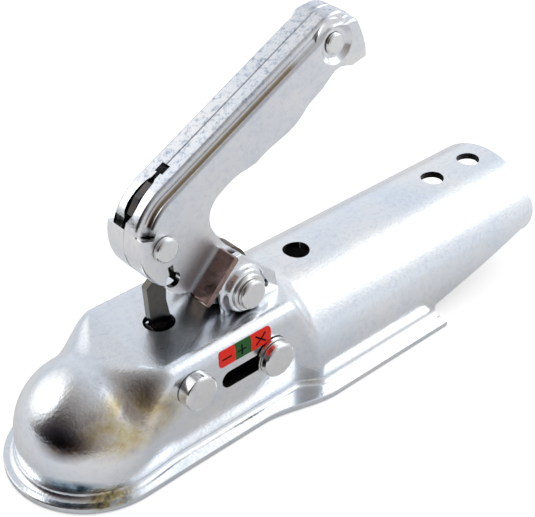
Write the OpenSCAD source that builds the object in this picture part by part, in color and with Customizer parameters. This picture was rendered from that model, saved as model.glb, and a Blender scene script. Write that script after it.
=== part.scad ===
// Trailer coupling head for a 50 mm ball and a 60 mm round drawbar, shown open.
// Frame: origin at the centre of the ball, +X towards the nose, +Y to the left, +Z up.
// The head rests on the flat underside of its base flange.

/* [Ball and socket] */
// Diameter of the ball that the head takes
ball_d = 50; // [45:0.5:55]
// Gap between the ball and the pressed socket
ball_gap = 1.2; // [0.8:0.1:2]
// Height of the ball centre above the underside of the flange
ball_height = 12.8; // [11:0.1:16]

/* [Housing sheet] */
// Thickness of the pressed steel sheet of the housing
sheet = 3; // [2.5:0.1:3.4]
// Half width of the narrow front section, across its upright walls
front_half_w = 27.6; // [27:0.1:28.2]
// Radius of the long shoulders beside the flat top
shoulder_r = 6; // [4.5:0.5:9]
// Distance from the ball centre to where the flat top begins
flat_start = 21; // [16:1:21]
// Distance from the ball centre to where the front section starts to widen
neck_start = 80; // [80:0.5:82]
// Length of the widening neck
neck_len = 12; // [9:1:12]

/* [Drawbar saddle] */
// Diameter of the drawbar tube
tube_d = 60; // [58:0.5:62]
// Gap all round between the tube and the saddle
tube_gap = 0.3; // [0.1:0.1:0.6]
// Height of the tube axis above the underside of the flange
tube_height = 11; // [10.5:0.1:12.5]
// Distance from the ball centre to the rear end of the saddle
saddle_end = 228.3; // [220:1:245]
// Diameter of the two clamping bolt holes in the ridge
bolt_hole_d = 10.5; // [8:0.5:13]
// Distance from the ball centre to the rear bolt hole
bolt_hole_x = 214.5; // [208:0.5:216]
// Spacing of the two bolt holes
bolt_spacing = 24.4; // [20:0.2:30]
// Diameter of the single hole behind the neck
neck_hole_d = 11.4; // [8:0.2:14]
// Distance from the ball centre to the single hole
neck_hole_x = 106.4; // [103:0.5:115]

/* [Base flange] */
// Width of the flange beyond the socket, measured at the nose
nose_flange_w = 4.9; // [4:0.1:7]
// Half width of the flange along the front section
front_flange_half_w = 33.9; // [32.5:0.1:35]
// Half width of the flange along the saddle
rear_flange_half_w = 40.8; // [38:0.2:44]
// Distance from the ball centre to the square rear end of the flange
flange_end = 159; // [150:1:162]
// Radius of the bend between the wall and the flange
flange_bend_r = 3; // [2:0.5:4]

/* [Top opening and lugs] */
// Distance from the ball centre to the front edge of the handle opening
opening_front = 47.5; // [47:0.5:49]
// Distance from the ball centre to the rear edge of the handle opening
opening_rear = 79; // [78:0.5:79.5]
// Gap on each side between the handle and its lug, filled by a washer
lug_gap = 1.5; // [1.3:0.1:2.5]
// Thickness of the two lugs that carry the handle
lug_t = 3; // [2.5:0.1:3.5]
// Diameter of the pressed collar round the handle pivot, at its foot
collar_d = 21; // [19:0.5:22]
// Height of the pressed collar
collar_h = 3.2; // [2:0.2:4]
// Diameter of the round hole for the catch tongue
catch_hole_d = 12.6; // [11.6:0.2:13]
// Distance from the ball centre to the middle of the catch hole
catch_hole_x = 34.8; // [34.5:0.1:35.2]

/* [Handle] */
// Distance of the handle pivot behind the ball centre
pivot_x = 64; // [63.5:0.1:64.5]
// Height of the handle pivot above the ball centre
pivot_z = 41.3; // [40.8:0.1:42]
// Angle of the grip above the drawbar when the handle stands open
open_angle = 27.4; // [22:0.2:28]
// Thickness of the handle sheet
handle_sheet = 2.5; // [2:0.1:2.8]
// Half width of the handle across its flat sides
handle_half_w = 10.5; // [10:0.1:10.8]
// Half width of the raised web along the back of the grip
web_half_w = 7.2; // [6:0.1:7.5]
// Depth of the step between the web and the flat side
web_step = 3.8; // [3:0.1:4.5]
// Height of the web above the pivot, square to the grip
web_height = 60.5; // [58:0.5:62]
// Length of the handle behind the pivot
grip_len = 97; // [92:0.5:110]
// Height of the free edge of the grip above the pivot
grip_edge = 38.8; // [37:0.2:40]
// Depth of the finger waves in the free edge
finger_wave = 1.6; // [0:0.2:2.5]
// Length of one finger wave
finger_pitch = 21; // [18:0.5:24]
// Reach of the outward stop flange of each handle side
stop_reach = 10; // [7:0.5:11]
// Diameter of the rivet that carries the catch
catch_rivet_d = 6; // [5:0.5:7]
// Diameter of the rivet at the tip of the grip
tip_rivet_d = 6; // [5:0.5:7]
// Distance of the tip rivet from the rear end of the grip
tip_rivet_inset = 12.7; // [12:0.1:14]

/* [Lock] */
// Diameter of the handle pivot bolt
pivot_bolt_d = 10; // [8:0.5:11]
// Diameter of the jaw pin
jaw_pin_d = 10; // [8:0.5:11]
// Distance of the jaw pin behind the ball centre
jaw_x = 28.5; // [28:0.1:29]
// Height of the jaw pin above the ball centre
jaw_z = 20; // [19.5:0.1:20.5]
// Angle through which the jaw swings from open to closed
jaw_swing = 8; // [6:0.5:9]
// Diameter of the sliding indicator pin
slide_pin_d = 7.2; // [6:0.2:7.4]
// Distance of the indicator pin behind the ball centre when open
slide_x = 67.8; // [67.5:0.1:68.2]
// Height of the indicator pin above the ball centre
slide_z = 13.8; // [13.5:0.1:14.2]
// Height of the side slot
slot_h = 7.8; // [7.6:0.1:8.4]
// Front end of the side slot behind the ball centre
slot_front = 42.5; // [42:0.5:44]
// Thickness of the indicator label
label_t = 0.3; // [0.2:0.1:0.5]
// Length of the indicator label
label_len = 26; // [24:0.5:27]
// Height that the indicator label covers
label_h = 7.4; // [6:0.2:7.8]
// Wire diameter of the pressure spring
spring_wire = 2.2; // [1.6:0.2:2.6]

/* [Fits] */
// Radial clearance of every pin in its bore
pin_fit = 0.05; // [0.02:0.01:0.09]
// Gap left between flat faces of pieces that move past each other
side_gap = 0.2; // [0.1:0.05:0.3]

/* [Hidden] */
$fn = 64;

// Heights and radii that follow from the driving sizes
base_z = -ball_height;
flange_top = base_z + sheet;
tube_z = base_z + tube_height;
socket_r = ball_d / 2 + ball_gap;
dome_r = socket_r + sheet;
saddle_in_r = tube_d / 2 + tube_gap;
saddle_r = saddle_in_r + sheet;
top_z = tube_z + saddle_r;
nose_flange_r = dome_r + nose_flange_w;
neck_end = neck_start + neck_len;
below = base_z - 5;
opening_half_w = handle_half_w + lug_gap;
// Place where the spherical nose hands over to the lofted front
loft_start = 3;

// Colours of the plain model
zinc = [0.80, 0.82, 0.84];
bright = [0.86, 0.87, 0.88];
dark = [0.45, 0.46, 0.48];
cast = [0.55, 0.55, 0.57];

// Smooth step from 0 to 1
function ease(s) = s <= 0 ? 0 : s >= 1 ? 1 : s * s * (3 - 2 * s);
function mix(a, b, s) = a + (b - a) * s;
// Points of an arc from angle a0 to a1 about [x, z]
function arc_pts(x, z, r, a0, a1, n) =
    [for (i = [0:n]) [x + r * cos(a0 + (a1 - a0) * i / n), z + r * sin(a0 + (a1 - a0) * i / n)]];

// Housing section at a distance d behind the ball: half width, shoulder radius, height. It runs from the dome through the flat top to the round saddle.
// The loft ends just inside the dome and the saddle, so that its corners don't touch them.
arc_steps = 9;
seam_step = 0.15;
function to_flat(d) = ease((d + loft_start) / (flat_start + loft_start));
function to_saddle(d) = ease((d - neck_start) / neck_len);
function dome_w(d) = sqrt(pow(dome_r, 2) - pow(min(0, d), 2)) - seam_step;
function sec_w(d) = mix(mix(dome_w(d), front_half_w, to_flat(d)), saddle_r - seam_step, to_saddle(d));
function sec_r(d) = mix(mix(dome_w(d), shoulder_r, to_flat(d)), saddle_r - seam_step, to_saddle(d));
function sec_top(d) = mix(mix(dome_w(d), top_z, to_flat(d)), top_z - seam_step, to_saddle(d));

// Half of one ring of the loft, from the foot up to the middle of the top, wall inset by t
function half_ring(d, t, foot_z) =
    let (r = max(0.5, sec_r(d) - t),
         w = sec_w(d) - t,
         z = sec_top(d) - t)
    concat([[w, foot_z]], arc_pts(w - r, z - r, r, 0, 90, arc_steps));
function ring(d, t, foot_z) =
    let (h = half_ring(d, t, foot_z), n = len(h))
    concat([for (p = h) [-d, p[0], p[1]]], [for (i = [n - 1:-1:0]) [-d, -h[i][0], h[i][1]]]);

// Closed loft through rings of equal length, from front to rear
module loft(rings) {
    n = len(rings[0]);
    m = len(rings);
    pts = [for (g = rings) each g];
    sides = [for (k = [0:m - 2], i = [0:n - 1])
        let (j = (i + 1) % n)
        each [[k * n + i, k * n + j, (k + 1) * n + j], [k * n + i, (k + 1) * n + j, (k + 1) * n + i]]];
    front = [[for (i = [n - 1:-1:0]) i]];
    back = [[for (i = [0:n - 1]) (m - 1) * n + i]];
    polyhedron(points = pts, faces = concat(sides, front, back), convexity = 6);
}

stations = concat([for (i = [0:7]) mix(-loft_start, flat_start, i / 7)],
                  [for (i = [0:5]) mix(neck_start, neck_end, i / 5)]);

// Round rod along Y at [x, z]
module y_rod(x, z, r, y0, y1) {
    translate([x, y0, z]) rotate([-90, 0, 0]) cylinder(h = y1 - y0, r = r);
}

// Shape drawn in X and Z, given thickness along Y
module xz_plate(y0, y1) {
    translate([0, y1, 0]) rotate([90, 0, 0]) linear_extrude(height = y1 - y0) children();
}

// Shape drawn in Y and Z, given length along X from x0 to x1
module yz_bar(x0, x1) {
    translate([x0, 0, 0]) rotate([90, 0, 90]) linear_extrude(height = x1 - x0) children();
}

module round_corner_box(x0, x1, w, r) {
    translate([x0 + r, -w]) square([x1 - x0 - 2 * r, 2 * w]);
    translate([x0, -w + r]) square([x1 - x0, 2 * w - 2 * r]);
    for (x = [x0 + r, x1 - r], y = [-w + r, w - r]) translate([x, y]) circle(r = r);
}

// Solid nose: a dome on a straight skirt, in front of the loft
module nose_solid(r) {
    intersection() {
        union() {
            sphere(r = r, $fn = 96);
            translate([0, 0, below]) cylinder(h = -below, r = r, $fn = 96);
        }
        translate([loft_start, -2 * r, below]) cube([2 * r, 4 * r, 4 * r]);
    }
}

// Everything inside the outer skin, or inside the inner skin with t = sheet
module housing_form(t) {
    nose_solid(dome_r - t);
    loft([for (d = stations) ring(d, t, below)]);
    yz_bar(-saddle_end - 1, -neck_end + 0.5) {
        translate([0, tube_z]) circle(r = saddle_r - t, $fn = 96);
        translate([-saddle_r + t, below]) square([2 * (saddle_r - t), tube_z - below]);
    }
}

// Side view of what is kept of the saddle: its rear rises on a slant with a rounded corner
slant_foot_z = tube_z - 3.6;
slant_angle = 11.6;
slant_corner_r = 9;
module side_keep() {
    back = -saddle_end;
    slope = tan(slant_angle);
    corner_x = back + slant_corner_r;
    corner_z = slant_foot_z + (-flange_end - 1 - corner_x) * slope + slant_corner_r / cos(slant_angle);
    polygon(concat([[2 * dome_r, below], [2 * dome_r, 2 * top_z], [back, 2 * top_z]],
                   arc_pts(corner_x, corner_z, slant_corner_r, 180, 270 + slant_angle, 8),
                   [[-flange_end - 1, slant_foot_z], [-flange_end, below]]));
}

// Outline of the flange in plan, wider along the saddle than along the nose
flange_steps = 8;
function flange_half(d) =
    mix(front_flange_half_w, rear_flange_half_w, ease((d - neck_start + 22) / (neck_len + 22)));
module flange_plan() {
    neck_pts = [for (i = [0:flange_steps])
        let (d = mix(neck_start - 22, neck_end, i / flange_steps)) [-d, flange_half(d)]];
    edge = concat(neck_pts, [[-flange_end, rear_flange_half_w]]);
    polygon(concat([[0, front_flange_half_w]], edge,
                   [for (i = [len(edge) - 1:-1:0]) [edge[i][0], -edge[i][1]]],
                   [[0, -front_flange_half_w]]));
    circle(r = nose_flange_r, $fn = 96);
}

// Hollow corner that the bend leaves between a wall at y = w and the flange. Its arc sinks a
// little into the wall and the flange, so that they cross and don't only touch.
bend_sink = 0.12;
module bend_section(w) {
    mid = flange_bend_r - bend_sink;
    difference() {
        translate([w - 0.5, flange_top - 0.5]) square(mid + 0.5);
        translate([w + mid, flange_top + mid]) circle(r = flange_bend_r);
    }
}

module bends() {
    for (s = [0, 1]) mirror([0, s, 0]) {
        yz_bar(-flange_end, -neck_end) bend_section(saddle_r);
        yz_bar(-neck_start, 0) bend_section(front_half_w);
    }
    rotate([0, 0, -90]) rotate_extrude(angle = 180, $fn = 96) bend_section(dome_r);
}

// Lug outline in side view: a peak behind the stop flange, sloping down to the rear
lug_foot_x = 9;
lug_peak_x = 1;
lug_peak_r = 15.6;
lug_tail_x = -17.4;
module lug_outline() {
    translate([-pivot_x, 0]) {
        polygon(concat([[lug_foot_x, top_z - sheet + 1], [lug_foot_x, pivot_z + 8],
                        [lug_peak_x + 3, pivot_z + lug_peak_r]],
                       arc_pts(lug_peak_x, pivot_z + lug_peak_r - 2, 2, 90, 140, 3),
                       [[lug_tail_x, pivot_z - 1], [lug_tail_x - 1.8, top_z - sheet + 1]]));
    }
}

lug_y = opening_half_w;
lug_out_y = lug_y + lug_t;
collar_y = lug_out_y + collar_h;
collar_draft = 1.6;

module lugs() {
    for (s = [0, 1]) mirror([0, s, 0]) {
        xz_plate(lug_y, lug_out_y) lug_outline();
        translate([-pivot_x, lug_out_y - 0.5, pivot_z]) rotate([-90, 0, 0])
            cylinder(h = collar_h + 0.5, r1 = collar_d / 2, r2 = collar_d / 2 - collar_draft);
    }
}

// Three-cornered lightening hole near the rear of each lug
module teardrop() {
    translate([-pivot_x, pivot_z]) {
        polygon([[-6.4, 6.6], [-12.6, -2.4], [-13.6, -4.6], [-12.3, -5.9], [-10.2, -4.4]]);
    }
}

module housing() {
    color(zinc) difference() {
        union() {
            intersection() {
                housing_form(0);
                xz_plate(-2 * dome_r, 2 * dome_r) side_keep();
                translate([-saddle_end - 10, -60, base_z]) cube([saddle_end + 80, 120, 120]);
            }
            translate([0, 0, base_z]) linear_extrude(height = sheet) flange_plan();
            bends();
            lugs();
        }
        housing_form(sheet);
        // Groove that holds the plate across the saddle mouth
        yz_bar(-bracket_front - bracket_t - 0.3, -neck_end + 0.8) mouth_half(saddle_in_r + bracket_seat);
        // Opening for the handle, its outline rounded at the corners
        translate([0, 0, pivot_z - 22])
            linear_extrude(height = 60) round_corner_box(-opening_rear, -opening_front, opening_half_w, 4);
        // Round hole for the tongue of the catch
        translate([-catch_hole_x, 0, top_z - 10]) cylinder(h = 20, r = catch_hole_d / 2);
        // Bores for the handle bolt and the jaw pin
        y_rod(-pivot_x, pivot_z, pivot_bolt_d / 2 + pin_fit, -60, 60);
        y_rod(-jaw_x, jaw_z, jaw_pin_d / 2 + pin_fit, -60, 60);
        xz_plate(-60, 60) teardrop();
        // Side slots for the indicator pin
        xz_plate(-60, 60) slot_outline();
        // Bolt holes in the ridge of the saddle
        for (x = [bolt_hole_x, bolt_hole_x - bolt_spacing])
            translate([-x, 0, tube_z]) cylinder(h = 60, r = bolt_hole_d / 2);
        translate([-neck_hole_x, 0, tube_z]) cylinder(h = 60, r = neck_hole_d / 2);
    }
}

slot_rear = slide_x + slot_h / 2 + 0.6;
module slot_outline() {
    r = slot_h / 2;
    for (x = [-slot_front - r, -slot_rear + r]) translate([x, slide_z]) circle(r = r);
    translate([-slot_rear + r, slide_z - r]) square([slot_rear - slot_front - 2 * r, slot_h]);
}

// Handle, drawn in its own frame: pivot at the origin, grip along -X, web on top
front_arc_x = 3;
front_arc_z = 37.8;
front_arc_r = web_height - front_arc_z;
tip_arc_r = 11;
// Height at which the web stops above the tongue of the catch
web_foot_z = 27;
inner_y = handle_half_w - handle_sheet;

// Free edge of the grip with its finger waves
wave_start = -26;
function edge_z(x) = grip_edge + finger_wave * cos(360 * (x - wave_start) / finger_pitch) * 0.8;
wave_steps = 26;
wave_end = -grip_len + 15;

// Outline of one side, set in by d from the back of the web
module side_outline(d, with_hub) {
    r = front_arc_r - d;
    tip = -grip_len + d;
    rt = tip_arc_r - d * 0.6;
    polygon(concat(
        arc_pts(front_arc_x, front_arc_z, r, -28, 90, 18),
        arc_pts(tip + rt, web_height - d - rt, rt, 90, 180, 8),
        [[tip, grip_edge - 3], [tip + 2, grip_edge - 5], [tip + 7, grip_edge - 4]],
        [for (i = [0:wave_steps]) let (x = mix(wave_end, wave_start, i / wave_steps)) [x, edge_z(x)]],
        [[-20, grip_edge + 2]],
        arc_pts(-15, grip_edge - 8, 10, 90, 0, 6),
        with_hub ? [[-3.5, 24], [-9, 9], [-9, 0]] : [[-2.5, 22.5], [1, 21]],
        with_hub ? arc_pts(0, 0, 9, 180, 330, 8) : [],
        with_hub ? concat([[13.6, 3], [15.6, 13.4]], cheek_pts) : [[16, 16.2], [20.5, 14.6]]));
}

// Lower front corner of the flat side, where it meets the stop flange
cheek_pts = [[16.4, 16], [18.3, 17.4], [20.7, 20.6], [22.6, 24.4]];
// Crease across the front, as an angle about the front arc. Below it the front band is as wide
// as the flat sides, and above it the band steps in to the web.
crease_angle = 42;
module front_flap() {
    polygon(concat(cheek_pts, arc_pts(front_arc_x, front_arc_z, front_arc_r, -28, crease_angle, 12),
                   [[5, front_arc_z + 8], [5, 20]]));
}

// Band of sheet that forms the back of the web and runs round the front and the tip
module web_band(d) {
    difference() {
        side_outline(d, false);
        side_outline(d + handle_sheet, false);
        translate([-grip_len + 12, 0]) square([grip_len + 3, grip_edge + 12]);
        translate([-5, 0]) square([40, web_foot_z]);
        translate([-60, grip_edge - 8]) square([50, 12]);
    }
}

// Places in the handle frame
catch_rivet_x = 14.6;
catch_rivet_z = 42.5;
tip_rivet_x = -grip_len + tip_rivet_inset;
tip_rivet_z = 50;
dimple_r = 8.3;
dimple_depth = 2;
key_x = 18.7;
key_z = 27.3;
key_r = 3.3;
key_slot_w = 2.4;
key_slot_len = 6.6;
key_turn = 18;

module open_pose() {
    translate([-pivot_x, 0, pivot_z]) rotate([0, open_angle, 0]) children();
}

module keyhole() {
    translate([key_x, key_z]) circle(r = key_r);
    translate([key_x, key_z]) rotate(key_turn) translate([-key_slot_w / 2, 0])
        square([key_slot_w, key_slot_len]);
}

// Stop flange that stands out from the flat side across the front of the lug
module stop_flange() {
    xz_plate(handle_half_w - 0.5, handle_half_w + stop_reach)
        polygon([[-2.2, 22], [16.4, 16], [15.6, 13.4], [-3, 19.4]]);
}

// Bar that cuts a folded corner at an angle about the front arc, from radius r outwards
module corner_notch(angle, r, y0, y1, width) {
    translate([front_arc_x, y0, front_arc_z]) rotate([0, -angle, 0])
        translate([r, 0, -width / 2]) cube([10, y1 - y0, width]);
}

module handle_half(notched) {
    seam = 0.06;
    difference() {
        union() {
            xz_plate(inner_y, handle_half_w) {
                side_outline(web_step, true);
                front_flap();
            }
            xz_plate(seam, handle_half_w) intersection() {
                web_band(0);
                front_flap();
            }
            xz_plate(seam, web_half_w) web_band(0);
            xz_plate(web_half_w - 0.8, web_half_w) difference() {
                side_outline(0.4, false);
                side_outline(web_step + handle_sheet, false);
            }
            xz_plate(web_half_w - 0.8, inner_y + 0.6) web_band(web_step);
            stop_flange();
            // Sheet pressed inwards round the tip rivet
            y_rod(tip_rivet_x, tip_rivet_z, dimple_r + 1.2, inner_y - dimple_depth, inner_y + 0.3);
            // Lip that closes the end of the grip
            xz_plate(web_half_w - 0.5, handle_half_w) intersection() {
                web_band(0);
                translate([-grip_len - 1, grip_edge - 6]) square([10, 30]);
            }
        }
        y_rod(tip_rivet_x, tip_rivet_z, dimple_r, handle_half_w - dimple_depth, 30);
        y_rod(tip_rivet_x, tip_rivet_z, tip_rivet_d / 2 + pin_fit, -1, 30);
        y_rod(catch_rivet_x, catch_rivet_z, catch_rivet_d / 2 + pin_fit, 1, 30);
        y_rod(0, 0, pivot_bolt_d / 2 + pin_fit, 1, 30);
        xz_plate(1, 30) keyhole();
        // Slot in the web for the thumb edge of the catch, and its square end
        translate([-7, -2.1, web_height - 6]) cube([4.2, 4.2, 12]);
        translate([-4, -1, web_height - 9]) cube([8, 2, 20]);
        hull() {
            translate([1.5, 0, 44]) cylinder(h = 30, r = 1.8, $fn = 24);
            translate([12.5, 0, 44]) cylinder(h = 30, r = 2.7, $fn = 24);
            translate([15.6, 0, 44]) cylinder(h = 30, r = 1.9, $fn = 24);
        }
        // Notches that let the sheet fold above the crease
        corner_notch(crease_angle + 5, front_arc_r - 5.9, web_half_w - 0.2, handle_half_w + 1, 4.2);
        if (notched) corner_notch(crease_angle + 6, front_arc_r - 3.2, -1, web_half_w - 0.6, 3.8);
    }
}

module handle_left() {
    color(zinc) open_pose() handle_half(false);
}

module handle_right() {
    color(zinc) open_pose() mirror([0, 1, 0]) handle_half(true);
}

// Crank plate between the sides: it turns with the handle and pushes the indicator pin
hinge_bush_len = 4;
cam_half_t = inner_y - hinge_bush_len;
cam_hub_r = 12;
fork_gap = 0.5;
fork_half_w = 6.4;
fork_run = 1.4;
module fork_slot() {
    r = slide_pin_d / 2 + fork_gap;
    translate([-slide_x, slide_z]) rotate(-atan((slide_x - pivot_x) / (pivot_z - slide_z))) {
        for (z = [-fork_run, fork_run]) translate([0, z]) circle(r = r);
        translate([-r, -fork_run]) square([2 * r, 2 * fork_run]);
    }
}

module drive_cam() {
    color(cast) difference() {
        union() {
            y_rod(-pivot_x, pivot_z, cam_hub_r, -cam_half_t, cam_half_t);
            xz_plate(-cam_half_t, cam_half_t)
                polygon([[-pivot_x - cam_hub_r + 1, pivot_z - 3], [-pivot_x + cam_hub_r - 1, pivot_z - 3],
                         [-slide_x + fork_half_w, slide_z - 1.5], [-slide_x - fork_half_w, slide_z - 1.5]]);
            y_rod(-slide_x, slide_z - 1.5, fork_half_w, -cam_half_t, cam_half_t);
        }
        y_rod(-pivot_x, pivot_z, pivot_bolt_d / 2 + pin_fit, -cam_half_t - 1, cam_half_t + 1);
        xz_plate(-cam_half_t - 1, cam_half_t + 1) fork_slot();
    }
}

// Plain ring round an axis along Y
module y_ring(x, z, ro, ri, y0, y1) {
    difference() {
        y_rod(x, z, ro, y0, y1);
        y_rod(x, z, ri, y0 - 1, y1 + 1);
    }
}

module both_sides() {
    children();
    mirror([0, 1, 0]) children();
}

// Two bushes that centre the crank plate between the handle sides
module hinge_bushes() {
    color(bright) both_sides()
        y_ring(-pivot_x, pivot_z, 8, pivot_bolt_d / 2 + pin_fit, cam_half_t + 0.02, inner_y - 0.02);
}

// Turned head with a rounded rim, standing along +Y
module pin_head(r, h) {
    rim = min(0.9, h - 0.6);
    rotate([-90, 0, 0]) rotate_extrude()
        polygon([[0, 0], [r - 0.4, 0], [r, 0.4], [r, h - rim], [r - rim, h], [0, h]]);
}

// Pin with a turned head at both ends
module headed_pin(x, z, r, y_seat, head_r, head_h) {
    y_rod(x, z, r, -y_seat - 0.5, y_seat + 0.5);
    both_sides() translate([x, y_seat, z]) pin_head(head_r, head_h);
}

bolt_rim_r = 7.7;
bolt_rim_h = 1.4;
bolt_head_r = pivot_bolt_d / 2 + 1;
bolt_head_h = 2.6;
module hinge_bolt() {
    color(bright) {
        headed_pin(-pivot_x, pivot_z, pivot_bolt_d / 2, collar_y + bolt_rim_h, bolt_head_r, bolt_head_h);
        both_sides() y_rod(-pivot_x, pivot_z, bolt_rim_r, collar_y, collar_y + bolt_rim_h);
    }
}

module hinge_washers() {
    color(bright) both_sides()
        y_ring(-pivot_x, pivot_z, 9.2, pivot_bolt_d / 2 + pin_fit, handle_half_w + 0.1, lug_y - 0.1);
}

module catch_rivet() {
    color(bright) open_pose()
        headed_pin(catch_rivet_x, catch_rivet_z, catch_rivet_d / 2, handle_half_w, 5, 2.7);
}

// Stamped lever: thumb edge in the web slot, eye on the rivet, tongue down into the housing
catch_half_t = 1.5;
module safety_catch() {
    color(dark) open_pose() difference() {
        union() {
            y_rod(catch_rivet_x, catch_rivet_z, 6.2, -catch_half_t, catch_half_t);
            xz_plate(-catch_half_t, catch_half_t) {
                polygon([[9, 46], [19.6, 44.5], [19.7, 47.2], [17, 50.6], [15, 52.2], [14.9, 56.2],
                         [9, 59.6], [2, 60.3], [2, 55], [6, 52]]);
                polygon([[9.5, 38], [20.3, 40.2], [20.7, 31.5], [19.4, 25.6], [26.9, 24.2],
                         [32.6, 11.4], [33.8, 5.2], [30.2, 1.2], [26, 3.4], [23.2, 12.4],
                         [17.6, 22], [12, 34]]);
            }
        }
        y_rod(catch_rivet_x, catch_rivet_z, catch_rivet_d / 2 + pin_fit, -5, 5);
    }
}

// Coil of round wire about an axis along Y, as one swept ring loft
wire_sides = 6;
coil_steps = 12;
function coil_ring(a, r, w, pitch) =
    [for (k = [0:wire_sides - 1]) let (q = 360 * k / wire_sides, rr = r + w * cos(q))
        [rr * cos(a), rr * sin(a), a / 360 * pitch + w * sin(q)]];
module coil(r, w, pitch, turns) {
    n = round(turns * coil_steps);
    loft([for (i = [0:n]) coil_ring(360 * i / coil_steps, r, w, pitch)]);
}

module catch_spring() {
    wire = 0.8;
    color(dark) open_pose() both_sides()
        translate([catch_rivet_x, catch_half_t + wire + 0.3, catch_rivet_z]) rotate([-90, 0, 0])
            coil(catch_rivet_d / 2 + wire + 0.35, wire, 1.65, 1.75);
}

module tip_rivet() {
    color(bright) open_pose()
        headed_pin(tip_rivet_x, tip_rivet_z, tip_rivet_d / 2, handle_half_w - dimple_depth, 4.4, 1.6);
}

module tip_spacer() {
    color(bright) open_pose()
        y_ring(tip_rivet_x, tip_rivet_z, 5.5, tip_rivet_d / 2 + pin_fit,
               -(inner_y - dimple_depth) + 0.02, inner_y - dimple_depth - 0.02);
}

// Cast jaw that closes behind the ball, drawn closed and then swung open about its pin
jaw_spacer_len = 7.7;
jaw_spring_room = 3.6;
wall_in_y = front_half_w - sheet - 0.3;
jaw_half_w = wall_in_y - jaw_spacer_len - jaw_spring_room;
jaw_ball_gap = 0.4;
module jaw_closed() {
    difference() {
        union() {
            y_rod(-jaw_x, jaw_z, 8.2, -jaw_half_w, jaw_half_w);
            xz_plate(-jaw_half_w, jaw_half_w)
                polygon([[-jaw_x + 7, jaw_z - 4], [-17, 4], [-19, -10.4], [-23, -11.4], [-31, -9],
                         [-36, 0], [-47, 1], [-48, 5.6], [-46, 6.2], [-35.5, 9], [-jaw_x - 8, jaw_z - 2]]);
        }
        sphere(r = ball_d / 2 + jaw_ball_gap, $fn = 96);
        y_rod(-jaw_x, jaw_z, jaw_pin_d / 2 + pin_fit, -20, 20);
    }
}

module ball_jaw() {
    color(cast) translate([-jaw_x, 0, jaw_z]) rotate([0, jaw_swing, 0]) translate([jaw_x, 0, -jaw_z])
        jaw_closed();
}

jaw_head_r = 7.3;
jaw_head_h = 5.6;
side_y = front_half_w;
// The left end has the forged head, and the right end is riveted over, low and small
module jaw_pin() {
    tail_r = jaw_pin_d / 2 + 0.9;
    color(bright) {
        y_rod(-jaw_x, jaw_z, jaw_pin_d / 2, -side_y - 0.5, side_y + 0.5);
        translate([-jaw_x, side_y, jaw_z]) pin_head(jaw_head_r, jaw_head_h);
        translate([-jaw_x, -side_y, jaw_z]) mirror([0, 1, 0]) pin_head(tail_r, 1.3);
    }
}

spacer_r = jaw_pin_d / 2 + 1;
module jaw_spacers() {
    color(bright) both_sides()
        y_ring(-jaw_x, jaw_z, spacer_r, jaw_pin_d / 2 + pin_fit, jaw_half_w + jaw_spring_room, wall_in_y);
}

module jaw_spring() {
    wire = 1.1;
    color(dark) both_sides() translate([-jaw_x, jaw_half_w + wire + 0.3, jaw_z]) rotate([-90, 0, 0])
        coil(jaw_pin_d / 2 + wire + 0.45, wire, 0.01, 0.97);
}

// Block that carries the indicator pin and presses on the arm of the jaw
slider_half_w = 14;
slider_top = 6.2;
slider_back = 10.6;
slider_front = 15;
module lock_slider() {
    window_front = 9.5;
    window_back = 7.9;
    color(cast) difference() {
        xz_plate(-slider_half_w, slider_half_w)
            polygon([[-slide_x - slider_back, slide_z - 5], [-slide_x + slider_front - 4, slide_z - 5],
                     [-slide_x + slider_front, slide_z - 2.4], [-slide_x + slider_front, slide_z + 3],
                     [-slide_x + slider_front - 3, slide_z + slider_top],
                     [-slide_x - slider_back, slide_z + slider_top]]);
        translate([-slide_x - window_back, -cam_half_t - 0.6, 0])
            cube([window_back + window_front, 2 * cam_half_t + 1.2, 40]);
        // The crank plate swings back over the rear bar of the block
        translate([-slide_x - slider_back - 1, -cam_half_t - 0.6, slide_z + 0.8])
            cube([slider_back + 2, 2 * cam_half_t + 1.2, 40]);
        y_rod(-slide_x, slide_z, slide_pin_d / 2 + pin_fit, -30, 30);
    }
}

washer_t = 1.2;
washer_r = 8.2;
pin_head_r = 7.4;
washer_y = side_y + label_t + side_gap;
module indicator_pin() {
    color(bright)
        headed_pin(-slide_x, slide_z, slide_pin_d / 2, washer_y + washer_t, pin_head_r, 3.8);
}

module indicator_washers() {
    color(bright) both_sides()
        y_ring(-slide_x, slide_z, washer_r, slide_pin_d / 2 + pin_fit, washer_y, washer_y + washer_t);
}

// Plate across the saddle mouth that backs the spring and stops the drawbar tube
bracket_front = neck_end + 1;
bracket_t = 3;
bracket_seat = 0.8;
module mouth_half(r) {
    intersection() {
        translate([0, tube_z]) circle(r = r, $fn = 96);
        translate([-saddle_r, tube_z]) square([2 * saddle_r, saddle_r]);
    }
}

module spring_bracket() {
    color(zinc) yz_bar(-bracket_front - bracket_t, -bracket_front)
        mouth_half(saddle_in_r + bracket_seat - 0.05);
}

spring_front = slide_x + slider_back + 0.3;
spring_r = 6.2;
module spring_guide() {
    color(bright) translate([-bracket_front, 0, slide_z]) rotate([0, 90, 0])
        cylinder(h = bracket_front - spring_front - 1.5, r = spring_r - spring_wire / 2 - 0.4);
}

module pressure_spring() {
    turns = 4;
    room = bracket_front - spring_front - spring_wire - 0.4;
    color(dark) translate([-bracket_front + spring_wire / 2 + 0.2, 0, slide_z]) rotate([0, 90, 0])
        coil(spring_r, spring_wire / 2, room / turns, turns);
}

// Label with red, green and red fields on the left side
label_x = 41.2;
label_z = 21.4;
label_corner_r = 1.6;

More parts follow.
